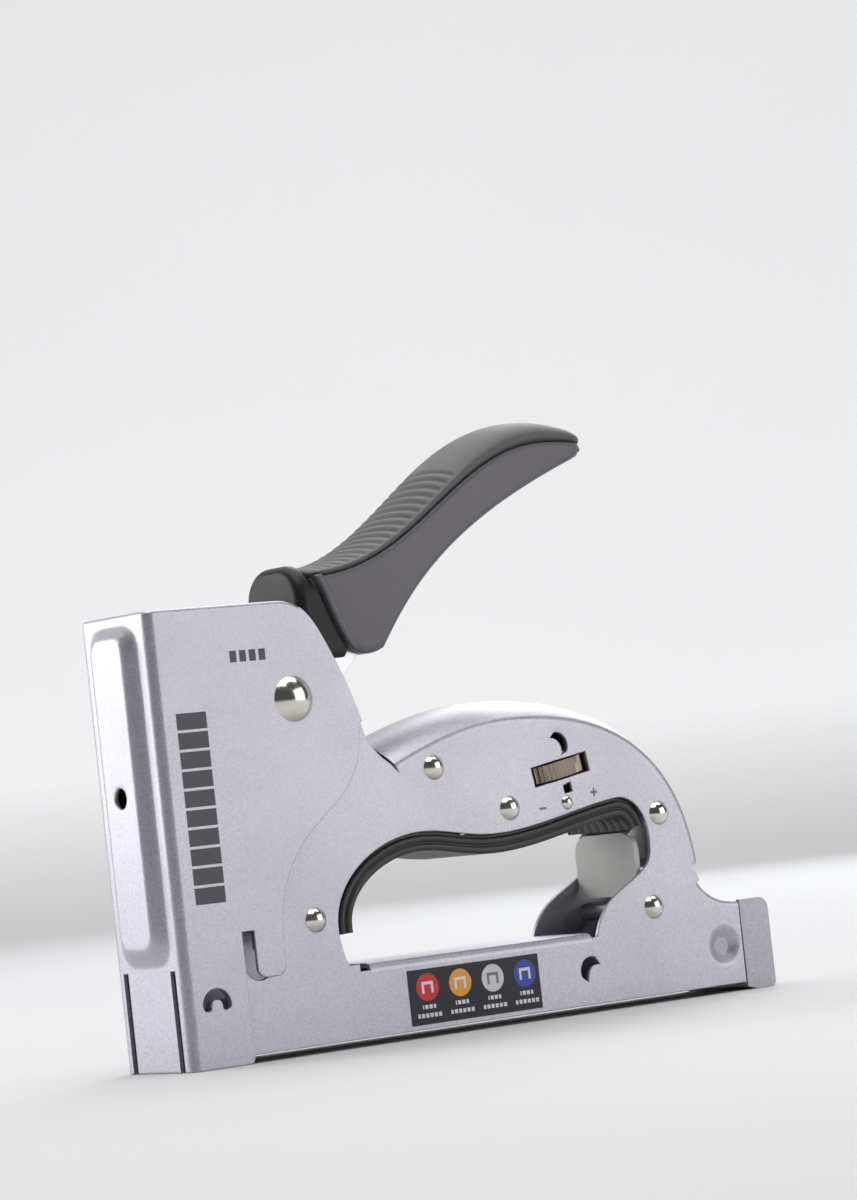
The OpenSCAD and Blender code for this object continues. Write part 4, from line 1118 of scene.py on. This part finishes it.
def build_head_block(form):
    """The black block before the shell: round shoulders, a soft front rim, a slanted back."""
    p = form.pivot
    front, top, foot, w = p[0] + 6.8, p[1] + 32.9, p[1] + 9.2, form.inner_y - 0.8
    shoulder, corner, soft, lip = 9.0, 1.5, 2.6, 0.5
    half = [(0.0, foot, 0.0, -1.0)]
    half += [(w - corner + corner * math.sin(a), foot + corner - corner * math.cos(a),
              math.sin(a), -math.cos(a)) for a in turns(0, 90, 6)]
    half += [(w, float(z), 1.0, 0.0) for z in np.linspace(foot + corner, top - shoulder, 14)[1:-1]]
    half += [(w - shoulder + shoulder * math.cos(a), top - shoulder + shoulder * math.sin(a),
              math.cos(a), math.sin(a)) for a in turns(0, 90, 20)]
    half += [(0.0, top, 0.0, 1.0)]
    last = len(half) - 1
    loop = half + [(-y, z, -ny, nz) for y, z, ny, nz in reversed(half[1:-1])]
    slant_x, slant_z = np.array(form.front_edge(0.9)[::-1]).T
    rows = []
    for y, z, ny, nz in loop:
        back = float(np.interp(z, slant_z, slant_x))
        run = [(back - lip + lip * math.cos(a), lip * (1 - math.sin(a)))
               for a in turns(0, 90, 5)]
        run += [(front + soft - soft * math.sin(a), soft * (1 - math.cos(a)))
                for a in turns(0, 90, 12)]
        rows.append([(x, y - ny * d, z - nz * d) for x, d in run])
    build = Build()
    starts = build.grid(rows + rows[:1])
    for k in range(last):
        for column in (0, len(rows[0]) - 1):
            around = (k, k + 1, 2 * last - k - 1, (2 * last - k) % (2 * last))
            build.faces.append(tuple(dict.fromkeys(starts[i] + column for i in around)))
    return build.object("head_block_visual", sharp=50.0)


def build_shell(form):
    """The shell, with a raised lip round its front edge and a neck into the head block."""
    build = Build()
    w, lip_out, lip_l, neck_in = form.lever_w / 2, 0.3, 2.1, 2.2
    groove, under, front = form.groove(), form.underside(), form.front_edge(0)

    def block(outline, half, radius):
        def place(a, b, d):
            return (a, (-half + d) * float(form.grip_y(a)) / w, b)
        build.plate([(outline, None, None)], 2 * half, radius, place)

    block(front[:-1] + under + groove[:0:-1], w - lip_out, 1.5)
    low = [q for q in under[1:] if q[0] < form.shell_nose[0] + lip_l]
    block(front + low + [q + at(lip_l, 0.35) for q in reversed(front)], w, 0.6)
    block(form.front_edge(0.85)[1:] + form.front_edge(-1.5)[:0:-1], w - neck_in, 0.3)
    return build.object("shell_visual")


def build_grip(form):
    """The soft grip: a crowned pad along the groove with ribs across its front part."""
    path = form.groove()
    normals = path_normals(path)
    lengths = np.linalg.norm(np.diff(np.array(path), axis=0), axis=1)
    distance = np.concatenate([[0], np.cumsum(lengths)])
    fine = np.linspace(0, distance[-1], 330)
    xs = np.interp(fine, distance, [p[0] for p in path])
    zs = np.interp(fine, distance, [p[1] for p in path])
    nx = np.interp(fine, distance, normals[:, 0])
    nz = np.interp(fine, distance, normals[:, 1])
    order = np.interp(fine, distance, np.linspace(0, 1, len(path)))
    across = np.linspace(0, math.pi, 41)
    ribbed = fine[-1] * 0.56
    pitch = ribbed / form.grip_ribs
    rows = []
    for i, s in enumerate(fine):
        nose = math.sqrt(max(0.0, 1 - (1 - min(s / 4.5, 1.0)) ** 2))
        y = (float(form.grip_y(xs[i])) - 0.15) * (0.70 + 0.30 * nose)
        h = float(form.grip_height(order[i])) * min(1.0, y / 8) * (0.45 + 0.55 * nose)
        wave = 0.5 - 0.5 * math.cos(2 * math.pi * s / pitch)
        fade = float(smoothstep(s / 5) * smoothstep((ribbed - s) / 4))
        dip = form.rib_depth * (1 - wave ** 0.6) * fade
        ring = []
        for a in across:
            cover = float(smoothstep((math.sin(a) - 0.30) / 0.25))
            rise = 0.05 + h * max(math.sin(a), 0.0) ** 0.8 - dip * cover
            tuck = 1 - 0.10 * max(0.0, 1 - rise / 1.5) ** 2
            ring.append((xs[i] + nx[i] * rise, -y * tuck * math.cos(a), zs[i] + nz[i] * rise))
        rows.append(ring)
    build = Build()
    starts = build.grid(rows, closed=True)
    for start in (starts[0], starts[-1]):
        build.faces.append(tuple(range(start, start + len(across))))
    return build.object("grip_visual", sharp=60.0)


# ---------------------------------------------------------------- finger loop

LINER_FLANK = ((0.9, 0.2), (0.9, 0.75), (0.3, 0.95), (0.05, 1.3), (0.0, 1.7), (0.06, 2.1),
               (0.35, 2.45), (0.62, 2.6), (0.62, 2.85), (0.30, 3.0), (0.05, 3.35), (0.0, 3.7))
LINER_ENDS = ((60, 27.5), (100, 45.4))   # front and rear, the grip ends at these heights
LINER_RIDGE = 3.2          # pitch of the fine ridges along the grip


def build_liner(form):
    """The grip that lines the loop: two grooved flanks and a finely ridged face."""
    (front_x, front_z), (rear_x, rear_z) = LINER_ENDS
    path = [p for p in form.loop() if not (p[0] < front_x and p[1] < front_z)
            and not (p[0] > rear_x and p[1] < rear_z)]
    w, t, r = form.shell_y - 0.6, form.liner_t, 0.9
    section = [(-w + back, d) for back, d in LINER_FLANK]
    section += [(-w + r - r * math.cos(a), t + 0.2 - r + r * math.sin(a))
                for a in turns(0, 90, 6)[1:]]
    for y in np.linspace(-w + r, w - r, 73)[1:-1]:
        ridge = abs(math.sin(math.pi * (y + w) / LINER_RIDGE)) ** 0.5
        section.append((y, t + 0.2 - 0.35 * (1 - ridge)))
    section += [(w - r + r * math.cos(a), t + 0.2 - r + r * math.sin(a))
                for a in turns(90, 0, 6)[:-1]]
    section += [(w - back, d) for back, d in reversed(LINER_FLANK)]
    rows = [[(p[0] - n[0] * d, y, p[1] - n[1] * d) for y, d in section]
            for p, n in zip(path, path_normals(path))]
    build = Build()
    starts = build.grid(rows, closed=True)
    for start in (starts[0], starts[-1]):
        build.faces.append(tuple(range(start, start + len(section))))
    return build.object("liner_visual", sharp=45.0)


# ---------------------------------------------------------------- rivets and pins

RIVET_HEAD, RIVET_SHANK = (6.2, 1.8), 1.5      # a head's diameter and height, a shank's radius
PIVOT_HEAD, PIVOT_SHANK = (11.2, 2.6), 2.5


def dome_profile(d, h):
    """Profile of a domed head from its rim up to its crown."""
    r = (d * d / 4 + h * h) / (2 * h)
    start = math.asin((d / 2) / r)
    crown = [(r * math.sin(a), h - r + r * math.cos(a)) for a in np.linspace(start * 0.985, 0, 14)]
    return [(d / 2, 0.0)] + crown


def add_pin(build, centre, reach, head, shank, head_steps=40, shank_steps=40):
    """A pin across the body, from -reach to reach, with a domed head on each end."""
    x, z = centre
    for s in (-1, 1):
        build.lathe(dome_profile(*head), lambda a, b, h, s=s: (x + a, s * (reach + h), z + b),
                    head_steps)
    build.lathe([(0, -reach), (shank, -reach), (shank, reach), (0, reach)],
                lambda a, b, h: (x + a, h, z + b), shank_steps)


def build_rivets(form):
    build = Build()
    for centre in form.rivets:
        add_pin(build, centre, form.shell_y, RIVET_HEAD, RIVET_SHANK)
    return build.object("rivets_visual", sharp=50.0)


def build_pivot(form):
    build = Build()
    add_pin(build, form.pivot, form.half_w, PIVOT_HEAD, PIVOT_SHANK, 64, 48)
    return build.object("pivot_visual", sharp=50.0)


# ---------------------------------------------------------------- stage

# The camera: its axes, its place in metres, and its lens and sensor in millimetres.
FORWARD = Vector((0.5921, 0.8046, 0.0449))
RIGHT = Vector((0.8035, -0.5851, -0.1096))
UP = Vector((0.0619, -0.1010, 0.9930))
EYE = Vector((-0.5616, -0.8913, 0.0580))
LENS, SENSOR = 132.0, 36.0

# The floor and the wall behind it, in metres.
FLOOR_FROM, FLOOR_TO, BEND_R, WALL_TOP, HALF_WIDTH = -4.0, 1.6, 1.4, 5.0, 5.0
GLOW_HEIGHT = 0.10         # the wall reaches its full glow this far above the floor

# Lights: name, place, target, width, height, watts, colour.
SOFTBOXES = (
    ("side_softbox", (0.72, -0.86, 0.30), (0.09, 0.0, 0.05), 0.9, 0.8, 4.3, (1.0, 0.99, 0.98)),
    ("nose_softbox", (-0.62, 0.72, 0.34), (0.0, 0.0, 0.06), 0.6, 0.6, 5.0, (1.0, 1.0, 1.0)),
    ("top_softbox", (-0.15, -0.25, 1.15), (0.07, 0.0, 0.06), 0.7, 0.7, 4.0, (1.0, 0.99, 0.98)),
    ("rim_softbox", (0.95, 0.75, 0.70), (0.09, 0.0, 0.08), 0.5, 0.9, 4.0, (0.95, 0.97, 1.0)),
)
OVERHEAD_HEIGHT, OVERHEAD_SIZE, OVERHEAD_POWER = 3.4, 4.5, 110.0
SKY_COLOUR, SKY_STRENGTH = (0.80, 0.83, 0.88, 1.0), 0.10


def paper_material():
    """Pale paper, with a glow that fades in up the wall."""
    pale = bpy.data.materials.new("stage_paper")
    pale.use_nodes = True
    tree = pale.node_tree
    shader = tree.nodes["Principled BSDF"]
    shader.inputs["Roughness"].default_value = 0.85
    place = node(tree, "ShaderNodeTexCoord").outputs["Object"]
    cloud = noise(tree, place, 1.5, 3.0)
    shade = blended(tree, cloud, (0.60, 0.60, 0.605, 1.0), (0.64, 0.64, 0.645, 1.0))
    tree.links.new(shade, shader.inputs["Base Color"])
    height = node(tree, "ShaderNodeSeparateXYZ", [(0, place)]).outputs[2]
    glow = ranged(tree, height, 0.0, GLOW_HEIGHT, 0.0, 1.0)
    tree.links.new(blended(tree, glow, (0.0, 0.0, 0.0, 1.0), (0.34, 0.34, 0.345, 1.0)),
                   shader.inputs["Emission Color"])
    shader.inputs["Emission Strength"].default_value = 1.0
    return pale


def build_backdrop(ahead):
    """A floor that bends up into a wall, square to the camera's direction."""
    aside = Vector((ahead.y, -ahead.x, 0))
    profile = [(FLOOR_FROM, 0.0), (FLOOR_TO, 0.0)]
    profile += [(FLOOR_TO + BEND_R * math.sin(a), BEND_R - BEND_R * math.cos(a))
                for a in turns(0, 90, 25)[1:]]
    profile += [(FLOOR_TO + BEND_R, WALL_TOP)]
    verts = [tuple(ahead * forward + aside * side + Vector((0, 0, up)))
             for forward, up in profile for side in (-HALF_WIDTH, HALF_WIDTH)]
    faces = [(2 * i, 2 * i + 1, 2 * i + 3, 2 * i + 2) for i in range(len(profile) - 1)]
    mesh = bpy.data.meshes.new("backdrop")
    mesh.from_pydata(verts, [], faces)
    mesh.shade_smooth()
    mesh.materials.append(paper_material())
    backdrop = bpy.data.objects.new("backdrop", mesh)
    bpy.context.scene.collection.objects.link(backdrop)


def build_camera(scene):
    data = bpy.data.cameras.new("camera")
    data.lens, data.sensor_width, data.sensor_fit = LENS, SENSOR, "AUTO"
    data.clip_start, data.clip_end = 0.01, 50.0
    camera = bpy.data.objects.new("camera", data)
    scene.collection.objects.link(camera)
    turn = Matrix((RIGHT, UP, -FORWARD)).transposed().to_4x4()
    camera.matrix_world = Matrix.Translation(EYE) @ turn
    scene.camera = camera


def build_stage(scene):
    ahead = Vector((FORWARD.x, FORWARD.y, 0)).normalized()
    build_backdrop(ahead)
    for softbox in SOFTBOXES:
        add_light(*softbox)
    add_light("overhead", (ahead.x, ahead.y, OVERHEAD_HEIGHT), (ahead.x, ahead.y, 0.0),
              OVERHEAD_SIZE, OVERHEAD_SIZE, OVERHEAD_POWER, (1.0, 1.0, 1.0))
    world = bpy.data.worlds.new("studio")
    world.use_nodes = True
    sky = world.node_tree.nodes["Background"]
    sky.inputs[0].default_value, sky.inputs[1].default_value = SKY_COLOUR, SKY_STRENGTH
    scene.world = world
    build_camera(scene)
    scene.view_settings.view_transform = "Standard"


def add_light(name, place, target, width, height, power, rgb):
    data = bpy.data.lights.new(name, "AREA")
    data.shape = "RECTANGLE"
    data.size, data.size_y, data.energy, data.color = width, height, power, rgb
    lamp = bpy.data.objects.new(name, data)
    bpy.context.scene.collection.objects.link(lamp)
    lamp.location = place
    lamp.rotation_euler = (Vector(target) - Vector(place)).to_track_quat("-Z", "Y").to_euler()


# ---------------------------------------------------------------- operators

class PieceOperator:
    """Works out the outlines from the scene's sizes and hands them to the piece's builder"""
    bl_options = {"REGISTER"}

    def execute(self, context):
        self.build(Form(context.scene.tacker_sizes))
        return {"FINISHED"}


class TACKER_OT_materials(bpy.types.Operator):
    """Makes the materials and their shared node groups"""
    bl_idname = "tacker.materials"
    bl_label = "Materials"

    def execute(self, context):
        MATERIALS.update(make_materials(context.scene.tacker_colours))
        return {"FINISHED"}


class TACKER_OT_cover(PieceOperator, bpy.types.Operator):
    """Builds the folded nose cover with its pressed rib"""
    bl_idname = "tacker.cover"
    bl_label = "Nose cover"

    def build(self, form):
        finished(build_cover(form), "housing", ["nose_cover"], "silver_paint")


class TACKER_OT_housing(PieceOperator, bpy.types.Operator):
    """Builds the two pressed housing halves"""
    bl_idname = "tacker.housing"
    bl_label = "Housing halves"

    def build(self, form):
        for s, node_name in ((-1, "left_housing"), (1, "right_housing")):
            finished(half_housing(form, s), "housing", [node_name], "silver_paint")


class TACKER_OT_crown(PieceOperator, bpy.types.Operator):
    """Builds the crown that closes the handle on top"""
    bl_idname = "tacker.crown"
    bl_label = "Handle crown"

    def build(self, form):
        finished(build_crown(form), "housing", ["handle_crown"], "silver_paint")


class TACKER_OT_lever(PieceOperator, bpy.types.Operator):
    """Builds the lever's head, shell and soft grip"""
    bl_idname = "tacker.lever"
    bl_label = "Lever"

    def build(self, form):
        finished(build_head_block(form), "lever", ["lever_head"], "black_plastic")
        finished(build_shell(form), "lever", ["lever_shell"], "grey_plastic")
        finished(build_grip(form), "lever", ["lever_grip"], "soft_grip")
        dressed(["lever_core"], "zinc_steel", 0.3)


class TACKER_OT_liner(PieceOperator, bpy.types.Operator):
    """Builds the grip that lines the finger loop"""
    bl_idname = "tacker.liner"
    bl_label = "Loop grip"

    def build(self, form):
        finished(build_liner(form), "housing", ["finger_grip"], "dark_grip")


class TACKER_OT_pins(PieceOperator, bpy.types.Operator):
    """Builds the pivot pin and the rivets"""
    bl_idname = "tacker.pins"
    bl_label = "Pins and rivets"

    def build(self, form):
        finished(build_rivets(form), "housing", ["housing_rivets"], "polished_nickel")
        finished(build_pivot(form), "housing", ["lever_pin"], "polished_nickel")


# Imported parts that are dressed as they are: their names, their slot, their bevel in millimetres.
WORKS = (
    (["power_wheel"], "knurled_nickel", 0.12),
    (["index_pin"], "polished_nickel", 0.0),
    (["power_screw", "wheel_bridges", "spacer_sleeves", "spring_cap", "pusher_rod", "pusher_nut",
      "magazine_channel", "staple_rail"], "zinc_steel", 0.15),
    (["striker", "driver_blade", "driver_guide", "power_limiter", "staple_pusher"],
     "hardened_steel", 0.2),
    (["drive_spring", "lever_return_spring", "pusher_spring"], "spring_steel", 0.0),
    (["bumper"], "black_rubber", 0.4),
    (["magazine_release"], "pale_plastic", 0.4),
    (["magazine_catch"], "grey_paint", 0.8),
    (["spec_label"], "label_print", 0.0),
)


class TACKER_OT_works(PieceOperator, bpy.types.Operator):
    """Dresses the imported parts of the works, the magazine and the controls"""
    bl_idname = "tacker.works"
    bl_label = "Works"

    def build(self, form):
        for names, slot, bevel in WORKS:
            dressed(names, slot, bevel)


class TACKER_OT_stage(bpy.types.Operator):
    """Sets up the floor, the backdrop, the lights and the camera"""
    bl_idname = "tacker.stage"
    bl_label = "Stage"

    def execute(self, context):
        build_stage(context.scene)
        return {"FINISHED"}


BUILDERS = (TACKER_OT_materials, TACKER_OT_cover, TACKER_OT_housing, TACKER_OT_crown, TACKER_OT_lever,
            TACKER_OT_liner, TACKER_OT_pins, TACKER_OT_works, TACKER_OT_stage)


class TACKER_PT_build(bpy.types.Panel):
    """Lists the builders in the order they run"""
    bl_label = "Hand Tacker"
    bl_idname = "TACKER_PT_build"
    bl_space_type = "VIEW_3D"
    bl_region_type = "UI"
    bl_category = "Tacker"

    def draw(self, context):
        for builder in BUILDERS:
            self.layout.operator(builder.bl_idname)


CLASSES = (TackerSizes, TackerColours, *BUILDERS, TACKER_PT_build)


def register():
    for cls in CLASSES:
        bpy.utils.register_class(cls)
    bpy.types.Scene.tacker_sizes = PointerProperty(type=TackerSizes)
    bpy.types.Scene.tacker_colours = PointerProperty(type=TackerColours)


def unregister():
    del bpy.types.Scene.tacker_colours
    del bpy.types.Scene.tacker_sizes
    for cls in reversed(CLASSES):
        bpy.utils.unregister_class(cls)


def main():
    register()
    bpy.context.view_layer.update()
    for builder in BUILDERS:
        group, name = builder.bl_idname.split(".")
        getattr(getattr(bpy.ops, group), name)()


if __name__ == "__main__":
    main()
